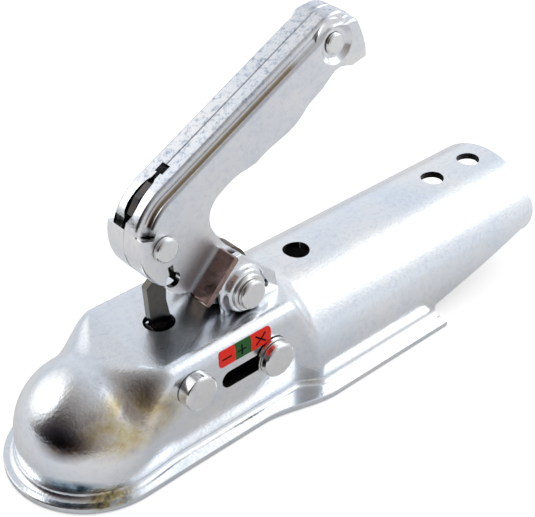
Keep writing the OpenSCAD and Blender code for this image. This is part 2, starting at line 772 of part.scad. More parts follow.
// Section of the label: flat on the wall, then bent a little over the shoulder
module label_section() {
    bend_y = front_half_w - shoulder_r;
    bend_z = top_z - shoulder_r;
    translate([side_y, label_z]) square([label_t, bend_z - label_z]);
    translate([bend_y, bend_z]) difference() {
        circle(r = shoulder_r + label_t);
        circle(r = shoulder_r + 0.03);
        translate([-20, -40]) square(40);
        translate([-40, 0]) square(40);
    }
}

module indicator_label() {
    color([0.85, 0.15, 0.1]) intersection() {
        yz_bar(-label_x - label_len, -label_x) label_section();
        xz_plate(0, 60) translate([0, label_z + label_h / 2])
            round_corner_box(-label_x - label_len, -label_x, label_h / 2, label_corner_r);
    }
}

housing();
handle_left();
handle_right();
drive_cam();
hinge_bushes();
hinge_bolt();
hinge_washers();
catch_rivet();
safety_catch();
catch_spring();
tip_rivet();
tip_spacer();
ball_jaw();
jaw_pin();
jaw_spacers();
jaw_spring();
lock_slider();
indicator_pin();
indicator_washers();
pressure_spring();
spring_guide();
spring_bracket();
indicator_label();
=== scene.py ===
# %% [markdown]
# A trailer coupling head, dressed for its photograph.
# The solids of the head were made beforehand and packed as a fixed frame. This script loads
# that frame, puts finer skins over the parts that show, and gives every part a finish.
# Lengths in the notes are in millimetres, and Blender works in metres, so MM turns one
# into the other.

# %% Load the frame
import bpy
import bmesh
import math
from mathutils import Matrix, Vector


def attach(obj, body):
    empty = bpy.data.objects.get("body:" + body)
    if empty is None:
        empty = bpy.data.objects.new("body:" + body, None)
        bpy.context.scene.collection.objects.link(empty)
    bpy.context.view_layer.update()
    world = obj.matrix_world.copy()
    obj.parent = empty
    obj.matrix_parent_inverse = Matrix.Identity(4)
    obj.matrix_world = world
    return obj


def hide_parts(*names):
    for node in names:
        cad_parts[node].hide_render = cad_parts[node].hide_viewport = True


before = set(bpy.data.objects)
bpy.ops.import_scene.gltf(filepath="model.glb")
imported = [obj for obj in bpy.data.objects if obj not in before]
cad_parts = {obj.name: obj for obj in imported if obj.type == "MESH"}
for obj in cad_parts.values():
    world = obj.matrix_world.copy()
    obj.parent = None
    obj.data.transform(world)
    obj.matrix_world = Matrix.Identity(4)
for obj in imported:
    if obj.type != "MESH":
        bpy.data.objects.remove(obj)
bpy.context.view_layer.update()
MM = 0.001
print("frame nodes:", len(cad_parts))

# %% [markdown]
# The camera comes first, because every later choice is judged through it. A photograph of a
# small product is taken with a long lens from about half a metre. The place and the lens
# were found by fitting the known circles and straight edges of the head to the picture.

# %% Camera
CAMERA_PLACE = Vector((0.1881, 0.3077, 0.3293))
CAMERA_LOOKS = Vector((-0.547, -0.604, -0.579))
LENS, SENSOR = 84.87, 36.0


def linked(name, data):
    made = bpy.data.objects.new(name, data)
    bpy.context.scene.collection.objects.link(made)
    return made


camera = linked("camera", bpy.data.cameras.new("camera"))
camera.data.lens = LENS
camera.data.sensor_width = SENSOR
camera.data.clip_start = 0.01
camera.location = CAMERA_PLACE
camera.rotation_euler = CAMERA_LOOKS.to_track_quat("-Z", "Y").to_euler()
bpy.context.scene.camera = camera
print("camera at", tuple(round(c, 3) for c in camera.location))

# %% [markdown]
# The sizes below are the same driving sizes as in the solids. They are written again here
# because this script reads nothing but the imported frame.

# %% Sizes of the head
SHEET = 3.0
BASE = -12.8
FLANGE_TOP = BASE + SHEET
DOME = 29.2
WALL = 27.6
SHOULDER = 6.0
TUBE_Z = -1.8
SADDLE = 33.3
TOP = TUBE_Z + SADDLE
FLAT_START = 21.0
NECK_START = 80.0
NECK_END = 92.0
SADDLE_END = 228.3
FLANGE_END = 159.0
PIVOT_X, PIVOT_Z = -64.0, 41.3
OPEN_ANGLE = math.radians(27.4)
print("flat top at z", TOP)

# %% [markdown]
# A few helpers. A mesh is built from points in millimetres, its doubled points are merged,
# and its faces are turned outwards. Shading is smooth except over real edges. A modifier is
# applied by keeping the evaluated mesh and dropping the modifier.

# %% Mesh helpers
MERGE = 1e-6


def finish_mesh(mesh, angle=32.0):
    work = bmesh.new()
    work.from_mesh(mesh)
    bmesh.ops.remove_doubles(work, verts=work.verts, dist=MERGE)
    bmesh.ops.dissolve_degenerate(work, edges=work.edges, dist=MERGE)
    bmesh.ops.recalc_face_normals(work, faces=work.faces)
    work.to_mesh(mesh)
    work.free()
    mesh.shade_smooth()
    mesh.set_sharp_from_angle(angle=math.radians(angle))


def solid(name, points, faces, angle=32.0):
    mesh = bpy.data.meshes.new(name)
    mesh.from_pydata([(x * MM, y * MM, z * MM) for x, y, z in points], [], faces)
    mesh.validate()
    finish_mesh(mesh, angle)
    return linked(name, mesh)


def settle(obj):
    settled = bpy.context.evaluated_depsgraph_get()
    plain = bpy.data.meshes.new_from_object(obj.evaluated_get(settled))
    obj.modifiers.clear()
    obj.data = plain
    return obj


# %% [markdown]
# Outlines are lists of points. A round is an arc with a centre, a radius and two angles in
# degrees. Where one form flows into another, ease gives a share that starts and ends
# gently, and mix goes from one size to another by that share.

# %% Outline helpers
def arc(cx, cz, r, a0, a1, n):
    steps = [math.radians(a0 + (a1 - a0) * i / n) for i in range(n + 1)]
    return [(cx + r * math.cos(a), cz + r * math.sin(a)) for a in steps]


def ease(s):
    s = max(0.0, min(1.0, s))
    return s * s * (3 - 2 * s)


def mix(a, b, s):
    return a + (b - a) * s


print("half way, eased:", ease(0.5))

# %% [markdown]
# Holes and joints are made with the Boolean modifier, applied at once. The cutters are
# plain prisms and turned shapes, and they are deleted after use.

# %% Prisms and turned shapes
def extruded(name, low, high):
    n = len(low)
    faces = [tuple(range(n)), tuple(range(2 * n - 1, n - 1, -1))]
    faces += [(i, (i + 1) % n, n + (i + 1) % n, n + i) for i in range(n)]
    return solid(name, low + high, faces)


def prism(outline, y0, y1, name="prism"):
    return extruded(name, [(x, y0, z) for x, z in outline], [(x, y1, z) for x, z in outline])


def tall(outline, z0, z1):
    return extruded("tall", [(x, y, z0) for x, y in outline], [(x, y, z1) for x, y in outline])


def turned(profile, place, upright=False, side=1, steps=64, name="turned"):
    points, faces = [], []
    for r, h in profile:
        for k in range(steps):
            a = 2 * math.pi * k / steps
            u, v = r * math.cos(a), r * math.sin(a)
            local = (u, v, side * h) if upright else (u, side * h, v)
            points.append(tuple(p + q for p, q in zip(place, local)))
    for j in range(len(profile) - 1):
        for k in range(steps):
            m = (k + 1) % steps
            faces.append((j * steps + k, j * steps + m, (j + 1) * steps + m, (j + 1) * steps + k))
    faces.append(tuple(range(steps)))
    faces.append(tuple((len(profile) - 1) * steps + k for k in range(steps)))
    return solid(name, points, faces)


def rod(place, r, y0, y1):
    return turned([(r, y0), (r, y1)], (place[0], 0, place[1]))


def drill(x, r):
    return turned([(r, 20), (r, 40)], (x, 0, 0), upright=True)


# %% [markdown]
# The Manifold solver is the quickest one, and it is exact on closed meshes. All the pieces
# here are closed, so it is used throughout.

# %% Boolean and bevel steps
def boolean(target, tools, operation):
    for tool in tools:
        step = target.modifiers.new("step", "BOOLEAN")
        step.object = tool
        step.operation = operation
        step.solver = "MANIFOLD"
    settle(target)
    for tool in tools:
        bpy.data.objects.remove(tool)
    return target


def bevel(target, width):
    rounding = target.modifiers.new("rounding", "BEVEL")
    rounding.width = width * MM
    rounding.segments = 3
    rounding.limit_method = "ANGLE"
    rounding.angle_limit = math.radians(35)
    return settle(target)


# %% [markdown]
# The housing is one piece of sheet steel, pressed in steps from a ball-shaped nose through a
# flat-topped middle to a half-round saddle, with a flange all round. A press gives every
# section the same order of forms: top, shoulder, wall, bend, flange. So the skin is a grid:
# one row of points for each section, with an inner row one sheet thickness inside it.

# %% Section of the housing
BEND = 3.0
EDGE_BREAK = 0.35
NOSE_REACH, WALL_REACH, REAR_REACH = 34.1, 33.9, 40.8
WIDEN_START, WIDEN_RUN = NECK_START - 22, 34


def section_sizes(d):
    flat = ease(d / FLAT_START)
    saddle = ease((d - NECK_START) / (NECK_END - NECK_START))
    width = mix(mix(DOME, WALL, flat), SADDLE, saddle)
    shoulder = mix(mix(DOME, SHOULDER, flat), SADDLE, saddle)
    top = mix(mix(DOME, TOP, flat), TOP, saddle)
    reach = mix(mix(NOSE_REACH, WALL_REACH, flat), REAR_REACH, ease((d - WIDEN_START) / WIDEN_RUN))
    return width, shoulder, top, reach


def section(d, inside):
    w, r, top, reach = section_sizes(d)
    t = SHEET if inside else 0.0
    row = [(mix(0, w - r, i / 5), top - t) for i in range(5)]
    row += [(x, z) for x, z in arc(w - r, top - r, max(0.2, r - t), 90, 0, 18)]
    row += [(w - t, mix(top - r, FLANGE_TOP + BEND, i / 8)) for i in range(1, 8)]
    row += arc(w + BEND, FLANGE_TOP + BEND, BEND + t, 180, 270, 10)
    row.append((mix(w + BEND, reach, 0.5), FLANGE_TOP - t))
    row.append((reach - EDGE_BREAK, FLANGE_TOP - t))
    row.append((reach, BASE + EDGE_BREAK if inside else FLANGE_TOP - EDGE_BREAK))
    return row


print("points in a section:", len(section(0, False)))

# %% [markdown]
# The left half of the grid is swept first: a quarter turn round the nose, then back along the
# drawbar. The right half is its mirror image, and the middle points merge.

# %% Grid of the housing
def half_rows(inside):
    rows = []
    nose = section(0, inside)
    for k in range(41):
        a = math.radians(90 * k / 40)
        rows.append([(w * math.cos(a), w * math.sin(a), z) for w, z in nose])
    stops = [FLAT_START * i / 16 for i in range(1, 17)]
    stops += [mix(FLAT_START, NECK_START, i / 24) for i in range(1, 25)]
    stops += [mix(NECK_START, NECK_END, i / 14) for i in range(1, 15)]
    stops += [mix(NECK_END, SADDLE_END + 2, i / 44) for i in range(1, 45)]
    rows += [[(-d, w, z) for w, z in section(d, inside)] for d in stops]
    return rows


def housing_grid():
    points, faces = [], []
    outer, inner = half_rows(False), half_rows(True)
    n = len(outer[0])
    for mirror in (1, -1):
        start = len(points)
        for a, b in zip(outer, inner):
            points.extend((x, mirror * y, z) for x, y, z in a)
            points.extend((x, mirror * y, z) for x, y, z in b)
        for j in range(len(outer) - 1):
            p, q = start + j * 2 * n, start + (j + 1) * 2 * n
            for i in range(n - 1):
                faces.append((p + i, p + i + 1, q + i + 1, q + i))
                faces.append((p + n + i, q + n + i, q + n + i + 1, p + n + i + 1))
            faces.append((p + n - 1, p + 2 * n - 1, q + 2 * n - 1, q + n - 1))
        last = start + (len(outer) - 1) * 2 * n
        for i in range(n - 1):
            faces.append((last + i, last + i + 1, last + n + i + 1, last + n + i))
    return solid("housing_skin", points, faces)


housing = housing_grid()
print("housing grid:", len(housing.data.polygons), "faces")

# %% [markdown]
# Two lugs stand up from the sides of the top opening and carry the handle. Each one has a
# collar pressed outwards round the pivot hole, so that the bolt has a longer bearing. In
# the mesh they are joined on with a union.

# %% Lugs and collars
LUG_IN, LUG_OUT, COLLAR_OUT = 12.0, 15.0, 18.2


def lug_shape():
    return ([(9, TOP - 2 - PIVOT_Z), (9, 8), (4, 15.6)] + arc(1, 13.6, 2, 90, 140, 5)
            + [(-17.4, -1), (-19.2, TOP - 2 - PIVOT_Z)])


lug_outline = [(PIVOT_X + x, PIVOT_Z + z) for x, z in lug_shape()]
COLLAR = [(11.4, -0.6), (11.1, 0.02), (10.6, 0.12), (10.1, 0.45), (9.7, 1.1), (9.45, 1.9),
          (9.25, 2.6), (8.9, 3.0), (8.4, 3.2), (3.0, 3.2)]
additions = []
for side in (1, -1):
    y0, y1 = sorted((side * LUG_IN, side * LUG_OUT))
    additions.append(bevel(prism(lug_outline, y0, y1, "lug"), 0.5))
    additions.append(turned(COLLAR, (PIVOT_X, side * LUG_OUT, PIVOT_Z), side=side, name="collar"))
boolean(housing, additions, "UNION")
print("housing with lugs:", len(housing.data.polygons), "faces")

# %% [markdown]
# Now the holes: the opening for the handle, the round hole for the catch, the pivot and pin
# bores, the side slots for the lock pin, the bolt holes in the saddle, and the slanted cut
# along the rear of the saddle. A bore is a little wider than its pin.

# %% Places of the holes
PIN_R, RIVET_R, PIN_ROOM = 5.0, 3.0, 0.05
PIVOT = (PIVOT_X, PIVOT_Z)
JAW_PIN = (-28.5, 20.0)
LOCK_Z = 13.8
SLOT_REAR, SLOT_FRONT, SLOT_R = -72.3, -42.5, 3.9
CATCH_HOLE = (-34.8, 6.3)
SADDLE_HOLES = ((-214.5, 5.25), (-190.1, 5.25), (-106.4, 5.7))
REAR_SLOPE, REAR_CORNER = math.radians(11.6), 9.0
TEARDROP = [(-6.4, 6.6), (-7.4, 6.2), (-12.6, -2.4), (-13.5, -4.4), (-13.2, -5.4), (-12.4, -5.9),
            (-11.2, -5.2), (-10.2, -4.2), (-8.4, 0.8), (-6.3, 5.8)]


def rounded_slot(x0, x1, z, r):
    return arc(x1 - r, z, r, -90, 90, 16) + arc(x0 + r, z, r, 90, 270, 16)


def rounded_box(x0, x1, half_w, r):
    corners = ((x1 - r, half_w - r), (x0 + r, half_w - r), (x0 + r, r - half_w), (x1 - r, r - half_w))
    return [point for k, (x, y) in enumerate(corners) for point in arc(x, y, r, 90 * k, 90 * k + 90, 6)]


def rear_cut():
    foot = TUBE_Z - 3.6
    x = -SADDLE_END + REAR_CORNER
    z = foot + (-FLANGE_END - 1 - x) * math.tan(REAR_SLOPE) + REAR_CORNER / math.cos(REAR_SLOPE)
    edge = [(-FLANGE_END, BASE - 5), (-FLANGE_END, foot - 1.2), (-FLANGE_END - 0.4, foot - 0.4),
            (-FLANGE_END - 1.2, foot)]
    edge += arc(x, z, REAR_CORNER, 281.6, 180, 16)
    edge += [(-SADDLE_END, TOP + 5), (-SADDLE_END - 9, TOP + 5), (-SADDLE_END - 9, BASE - 5)]
    return edge


# %% [markdown]
# Each cutter is longer than the wall that it goes through, so that no skin is left over the
# hole. All of them are taken away in one go.

# %% Cutting the holes
lens_hole = [(PIVOT_X + x, PIVOT_Z + z) for x, z in TEARDROP]
cutters = [prism(rear_cut(), -60, 60), tall(rounded_box(-79, -47.5, 12, 4), 20, 31.45)]
cutters.append(drill(*CATCH_HOLE))
cutters.append(rod(PIVOT, PIN_R + PIN_ROOM, -60, 60))
cutters.append(rod(JAW_PIN, PIN_R + PIN_ROOM, -60, 60))
cutters.append(prism(lens_hole, -60, 60))
cutters.append(prism(rounded_slot(SLOT_REAR, SLOT_FRONT, LOCK_Z, SLOT_R), -60, 60))
cutters += [drill(x, r) for x, r in SADDLE_HOLES]
boolean(housing, cutters, "DIFFERENCE")
finish_mesh(housing.data, 30)
print("housing with holes:", len(housing.data.polygons), "faces")

# %% [markdown]
# The handle is two mirrored shells of sheet steel that meet in the middle of the grip. Along
# its back each shell steps down from a raised web to the flat side, with a round at every
# corner. Light runs along these rounds as thin bright and dark lines, so they are modelled,
# not painted, except for one gold line on the round under the web, which is a painted reflection. The shell
# is swept along the outline of the grip: a front arc, the straight back, and the rounded tip. Its own frame
# has the pivot at the origin and the grip along -X.

# %% Path of the handle's back
ARC_X, ARC_Z, ARC_R = 3.0, 37.8, 22.7
WEB_Z = 60.5
GRIP = 97.0
TIP_R, TIP_SHRINK = 11.0, 0.6
LIP_Z, LIP_CURL = 34.3, 2.2


def back_path():
    path = [("front", mix(-28, 41, i / 32)) for i in range(33)]
    path += [("front", mix(41.4, 42.6, i / 3)) for i in range(4)]
    path += [("front", mix(44, 90, i / 22)) for i in range(23)]
    path += [("top", mix(ARC_X, -GRIP + TIP_R, i / 24)) for i in range(1, 24)]
    path += [("tip", mix(90, 180, i / 20)) for i in range(21)]
    path += [("end", i / 8) for i in range(1, 9)]
    return path


def on_path(stop, d):
    kind, value = stop
    if kind == "front":
        a = math.radians(value)
        return ARC_X + (ARC_R - d) * math.cos(a), ARC_Z + (ARC_R - d) * math.sin(a)
    if kind == "top":
        return value, WEB_Z - d
    r = TIP_R - TIP_SHRINK * d
    cx, cz = -GRIP + d + r, WEB_Z - d - r
    if kind == "tip":
        a = math.radians(value)
        return cx + r * math.cos(a), cz + r * math.sin(a)
    return -GRIP + d + LIP_CURL * value ** 3, mix(cz, LIP_Z, value)


print("stops along the back:", len(back_path()))

# %% [markdown]
# The step of the web has its full form only above a crease on the front arc. Below the crease
# and round the tip, the back is one wide round. The share of the wide form changes quickly at the
# crease and slowly round the tip, and both forms have the same number of points, so that
# one mesh runs through.

# %% Rounded step of the web
CREASE = 42.0
PLATE_OUT, PLATE_IN = 10.5, 8.0


def quarter(d, y, rd, ry, n, hollow=False):
    turns = [math.radians(90 * k / n) for k in range(n + 1)]
    if hollow:
        return [(d + rd * math.sin(a), y + ry * (1 - math.cos(a))) for a in turns]
    return [(d + rd * (1 - math.cos(a)), y + ry * math.sin(a)) for a in turns]


def lower_share(stop):
    kind, value = stop
    if kind == "front":
        return 1.0 - ease((value - CREASE + 0.6) / 1.2)
    if kind == "tip":
        return ease((value - 125) / 50)
    return 1.0 if kind == "end" else 0.0


def blended(stepped, wide, stop):
    share = lower_share(stop)
    return [(mix(p[0], q[0], share), mix(p[1], q[1], share)) for p, q in zip(stepped, wide)]


def outer_step(stop):
    seam = [(0.25, 0.06), (0.0, 0.35), (0.0, 2.0), (0.0, 4.0)]
    stepped = seam + quarter(0, 5.7, 1.5, 1.5, 8) + quarter(2.5, 7.2, 1.3, 1.3, 7, True)
    stepped += quarter(3.8, 9.0, 1.5, 1.5, 8)
    wide = seam + [(0.0, mix(4.4, 8.6, i / 14)) for i in range(15)]
    wide += quarter(0, 8.9, 1.6, 1.6, len(stepped) - len(wide) - 1)
    return blended(stepped, wide, stop)


def inner_step(stop):
    stepped = [(2.5, 0.06), (2.5, 2.4), (2.5, 4.7), (4.4, 4.7), (6.3, 4.7), (6.3, 6.4), (6.3, 8.0)]
    wide = [(2.5, 0.06), (2.5, 2.4), (2.5, 4.7), (2.5, 6.0), (2.5, 7.0), (2.9, 7.8), (3.9, 8.0)]
    return blended(stepped, wide, stop)


print("step of the web:", len(outer_step(("top", 0))), "points")

# %% [markdown]
# The flat side is closed by the free edge: a cheek that goes down to the pivot, a throat
# behind it, and shallow waves for the fingers.

# %% Free edge of the grip
CHEEK = [(22.7, 26.0), (22.3, 24.2), (20.8, 20.9), (19.6, 19.0), (18.2, 17.4), (16.4, 16.0),
         (15.6, 13.4), (14.9, 9), (13.6, 3)]
HUB = arc(0, 0, 9, -30, -180, 18)
THROAT = ([(-9, 4), (-8.6, 9), (-7.0, 14), (-5.4, 19), (-4.6, 24), (-4.4, 28)]
          + arc(-14.6, 30.6, 10.2, 0, 90, 14)[1:])
WAVES = [(-18, 41.0), (-21.7, 41.0), (-25.6, 40.2), (-29, 39.0), (-32.5, 37.9), (-36, 38.0),
         (-39.5, 38.0), (-45, 37.2), (-50, 36.5), (-54, 36.5), (-58.5, 37.4), (-62, 38.7),
         (-66, 39.0), (-71, 39.2), (-75.5, 40.4), (-79, 41.0), (-82, 40.2), (-84.4, 38.2),
         (-86.5, 36.2), (-90, 35.2)]
free_edge = CHEEK + HUB + THROAT + WAVES

print("points of the free edge:", len(free_edge))

# %% [markdown]
# The outer and the inner skin are swept together and share the seam, the free edge and both
# ends, so the shell is closed and Boolean steps work on it.

# %% Shell of one handle side
def handle_shell():
    path = back_path()
    points, faces = [], []
    outer, inner = [], []
    for stop in path:
        outer.append([])
        for d, y in outer_step(stop):
            x, z = on_path(stop, d)
            outer[-1].append(len(points))
            points.append((x, y, z))
        inner.append([])
        for d, y in inner_step(stop):
            x, z = on_path(stop, d)
            inner[-1].append(len(points))
            points.append((x, y, z))
    for a, b, c, e in zip(outer, outer[1:], inner, inner[1:]):
        for i in range(len(a) - 1):
            faces.append((a[i], a[i + 1], b[i + 1], b[i]))
        for i in range(len(c) - 1):
            faces.append((c[i], e[i], e[i + 1], c[i + 1]))
        faces.append((a[0], b[0], e[0], c[0]))
    rim_out, rim_in = [], []
    for x, z in free_edge:
        rim_out.append(len(points))
        points.append((x, PLATE_OUT, z))
        rim_in.append(len(points))
        points.append((x, PLATE_IN, z))
    loop_out = [row[-1] for row in outer] + list(reversed(rim_out))
    loop_in = [row[-1] for row in inner] + list(reversed(rim_in))
    faces.append(tuple(loop_out))
    faces.append(tuple(reversed(loop_in)))
    edge_out = [outer[0][-1]] + rim_out + [outer[-1][-1]]
    edge_in = [inner[0][-1]] + rim_in + [inner[-1][-1]]
    for i in range(len(edge_out) - 1):
        faces.append((edge_out[i], edge_out[i + 1], edge_in[i + 1], edge_in[i]))
    for end in (0, -1):
        faces.append(tuple(outer[end] + list(reversed(inner[end]))))
    return solid("handle_shell", points, faces, 28)


# %% [markdown]
# Each side also has an outward stop flange in front of the lug, a pressed dimple for the tip
# rivet, a keyhole for the leg of the catch spring, and its half of the slot for the catch.
# Where the back turns at the crease, a small notch is cut through the fold.

# %% Details of one handle side
CATCH_RIVET = (14.6, 42.5)
TIP_RIVET = (-84.3, 50.0)
KEYHOLE = arc(18.7, 27.3, 3.3, 129, 447, 26) + [(17.8, 34.0), (15.5, 33.2)]
CATCH_SLOT = [(-0.4, -1), (-0.3, 0.9), (1.5, 1.75), (6, 2.3), (12, 2.7), (15, 2.3), (17.4, 0.8), (17.5, -1)]


def stop_flange():
    shape = ([(-2.2, 22.0), (16.4, 16.0)] + arc(15.9, 14.7, 1.3, 70, -110, 6)
             + [(-3.0, 19.4), (-3.2, 20.8)])
    return bevel(prism(shape, 9.6, 20.5, "stop_flange"), 0.45)


def dish(place, r_top, r_low, y_top, y_low):
    rim = [(r_top + 1.2, y_top + 1.5), (r_top + 0.9, y_top + 0.02), (r_top, y_top - 0.12),
           (r_top - 0.7, y_top - 0.7), (r_low + 0.5, y_low + 0.35), (r_low, y_low)]
    return turned(rim, (place[0], 0, place[1]), steps=72, name="dish")


def corner_bar(angle, start, width):
    out = Vector((math.cos(math.radians(angle)), math.sin(math.radians(angle))))
    across = Vector((-out.y, out.x)) * width / 2
    middle = Vector((ARC_X, ARC_Z))
    ends = [middle + out * start - across, middle + out * 30 - across,
            middle + out * 30 + across, middle + out * start + across]
    return [tuple(end) for end in ends]


def window(x0, x1, half_w, low):
    return tall([(x0, -1), (x0, half_w), (x1, half_w), (x1, -1)], low, 66)


# %% [markdown]
# A side is the shell, joined with the boss of the dimple and the stop flange, and then cut. Only
# the right one has the second notch, in the middle of the fold.

# %% One whole handle side
def one_side(notched):
    shell = handle_shell()
    boss = turned([(9.6, 6.0), (9.6, 8.4)], (TIP_RIVET[0], 0, TIP_RIVET[1]), steps=72)
    boolean(shell, [boss, stop_flange()], "UNION")
    cuts = [dish(TIP_RIVET, 8.0, 6.0, PLATE_OUT, 8.6), prism(KEYHOLE, 6, 12),
            prism(corner_bar(47.5, 16.9, 4.4), 6.9, 11), tall(CATCH_SLOT, 44, 66),
            window(-7, -2.8, 2.1, 52), window(-4, 2, 1.0, 50),
            rod(TIP_RIVET, RIVET_R + PIN_ROOM, -1, 30), rod((0, 0), PIN_R + PIN_ROOM, 1, 30),
            rod(CATCH_RIVET, RIVET_R + PIN_ROOM, 1, 30)]
    if notched:
        cuts.append(prism(corner_bar(48, 19.4, 4.0), -1, 6.7))
    return boolean(shell, cuts, "DIFFERENCE")


# %% [markdown]
# Each side is turned into the open pose, and the right one is mirrored. A mirrored mesh is
# inside out, so its faces are turned again.

# %% Two handle sides in their place
def to_world(obj, name, mirror):
    obj.name = name
    turn = Matrix.Rotation(OPEN_ANGLE, 4, "Y")
    place = Matrix.Translation(Vector((PIVOT_X, 0, PIVOT_Z)) * MM)
    flip = Matrix.Diagonal((1, -1, 1, 1)) if mirror else Matrix.Identity(4)
    obj.data.transform(flip @ place @ turn)
    finish_mesh(obj.data, 28)
    return obj


left = to_world(one_side(False), "handle_left_skin", False)
right = to_world(one_side(True), "handle_right_skin", True)
print("handle side:", len(left.data.polygons), "faces")

# %% [markdown]
# Every material is a small tree of nodes on object coordinates, so that a pattern stays on
# its piece from any side. The same few steps come back in all of them: a noise, a ramp
# that turns it into colours, and a mix of two colours.

# %% Material helpers
def add(tree, kind, **settings):
    node = tree.nodes.new(kind)
    for key, value in settings.items():
        setattr(node, key, value)
    return node


def started(name):
    material = bpy.data.materials.new(name)
    material.use_nodes = True
    tree = material.node_tree
    tree.nodes.clear()
    return material, tree, add(tree, "ShaderNodeTexCoord").outputs["Object"]


def closed(tree, shader):
    tree.links.new(shader, add(tree, "ShaderNodeOutputMaterial").inputs["Surface"])


def grey(value):
    return value, value, value


def ramp(tree, stops, source, blend="LINEAR"):
    node = add(tree, "ShaderNodeValToRGB")
    node.color_ramp.interpolation = blend
    points = node.color_ramp.elements
    while len(points) < len(stops):
        points.new(0.5)
    for point, (place, colour) in zip(points, stops):
        point.position = place
        point.color = (*colour, 1)
    tree.links.new(source, node.inputs["Fac"])
    return node.outputs["Color"]


def noise(tree, where, scale, detail, rough):
    node = add(tree, "ShaderNodeTexNoise")
    node.inputs["Scale"].default_value = scale
    node.inputs["Detail"].default_value = detail
    node.inputs["Roughness"].default_value = rough
    tree.links.new(where, node.inputs["Vector"])
    return node.outputs["Fac"]


def patchy(tree, where, scale, detail, rough, stops):
    return ramp(tree, stops, noise(tree, where, scale, detail, rough))


def mixed(tree, mode, factor, a, b):
    node = add(tree, "ShaderNodeMix", data_type="RGBA", blend_type=mode)
    for value, socket in ((factor, "Factor"), (a, "A"), (b, "B")):
        if isinstance(value, (int, float)):
            node.inputs[socket].default_value = value
        elif isinstance(value, tuple):
            node.inputs[socket].default_value = (*value, 1)
        else:
            tree.links.new(value, node.inputs[socket])
    return node.outputs["Result"]


# %% [markdown]
# Painted reflections, a painted shadow, wear, tints and dull faces lie at a known place on the piece. One
# mask is white near a point and fades out with distance. The other reads one coordinate, left and right
# alike, and goes through a ramp whose stops are in millimetres. The node for ambient occlusion darkens deep
# corners, where bright metal would show only more metal.

# %% Masks by place
HOLLOW_REACH = 9.0
BAND_SPAN = 100.0


def number(tree, operation, a, b=None, c=None):
    node = add(tree, "ShaderNodeMath", operation=operation)
    for socket, value in zip(node.inputs, (a, b, c)):
        if isinstance(value, (int, float)):
            socket.default_value = value
        elif value is not None:
            tree.links.new(value, socket)
    return node.outputs[0]


def vector(tree, operation, a, b=None):
    node = add(tree, "ShaderNodeVectorMath", operation=operation)
    tree.links.new(a, node.inputs[0])
    if b is not None:
        node.inputs[1].default_value = b
    return node.outputs


def near(tree, where, middle, stretch, core):
    away = vector(tree, "SUBTRACT", where, tuple(c * MM for c in middle))["Vector"]
    scaled = vector(tree, "DIVIDE", away, tuple(c * MM for c in stretch))["Vector"]
    length = vector(tree, "LENGTH", scaled)["Value"]
    return ramp(tree, [(core, grey(1)), (1.0, grey(0))], length)


def band(tree, where, axis, stops):
    split = add(tree, "ShaderNodeSeparateXYZ")
    tree.links.new(where, split.inputs[0])
    size = number(tree, "ABSOLUTE", split.outputs[axis])
    share = number(tree, "DIVIDE", size, BAND_SPAN * MM)
    return ramp(tree, [(place / BAND_SPAN, grey(value)) for place, value in stops], share)


def hollow_shade(tree):
    hollow = add(tree, "ShaderNodeAmbientOcclusion", samples=6)
    hollow.inputs["Distance"].default_value = HOLLOW_REACH * MM
    return ramp(tree, [(0.12, (0.03, 0.03, 0.035)), (0.46, grey(1))], hollow.outputs["AO"])


# %% [markdown]
# Painted reflections of the dark, warm room lie on the pressed nose: gold and brown on its flank,
# dark at its front, a dark blue band at its foot, and dark and gold patches on the flange. Each one is a
# row
# of sizes: where it is, how far it reaches, how much of it is solid, the noise in it, and its
# colours. The flat top is duller than the rest, and its height tells where it is.

# %% Painted reflections on the housing
# Painted reflections: dark, brown, gold and blue patches that stand for the room mirrored in the nose and
# flange.
PAINTED_NOSE_REFLECTIONS = (
    ((-2, 24, 17), (26, 14, 14), 0.55, (75.0, 5.0, 0.6),
     [(0.32, (0.40, 0.31, 0.26)), (0.47, (0.74, 0.62, 0.36)), (0.56, (0.86, 0.78, 0.66)),
      (0.68, (0.46, 0.40, 0.38))]),
    ((21.5, 15, 12.5), (13, 13, 6.5), 0.30, (110.0, 5.0, 0.65),
     [(0.35, (0.10, 0.08, 0.09)), (0.65, (0.34, 0.25, 0.20))]),
    ((23.5, 18.5, -4.2), (15, 15, 4.0), 0.40, (95.0, 5.0, 0.65),
     [(0.42, (0.05, 0.08, 0.11)), (0.62, (0.42, 0.54, 0.62))]),
    ((14.5, 29, -8.8), (15, 10, 3.0), 0.45, (160.0, 6.0, 0.7),
     [(0.38, (0.10, 0.10, 0.11)), (0.50, (0.66, 0.52, 0.24)), (0.60, (0.80, 0.78, 0.74))]),
)


def housing_reflections_and_dull_top(tree, where, tint, gloss):
    for middle, stretch, core, grain, colours in PAINTED_NOSE_REFLECTIONS:
        # Each patch is a painted reflection, multiplied into the tint.
        painted_reflection = patchy(tree, where, *grain, colours)
        tint = mixed(tree, "MULTIPLY", near(tree, where, middle, stretch, core), tint, painted_reflection)
    top = band(tree, where, "Z", [(31.25, 0), (31.42, 1), (31.6, 1), (32.0, 0)])
    return tint, mixed(tree, "MIX", top, gloss, grey(0.40))


print("painted_reflections:", len(PAINTED_NOSE_REFLECTIONS))
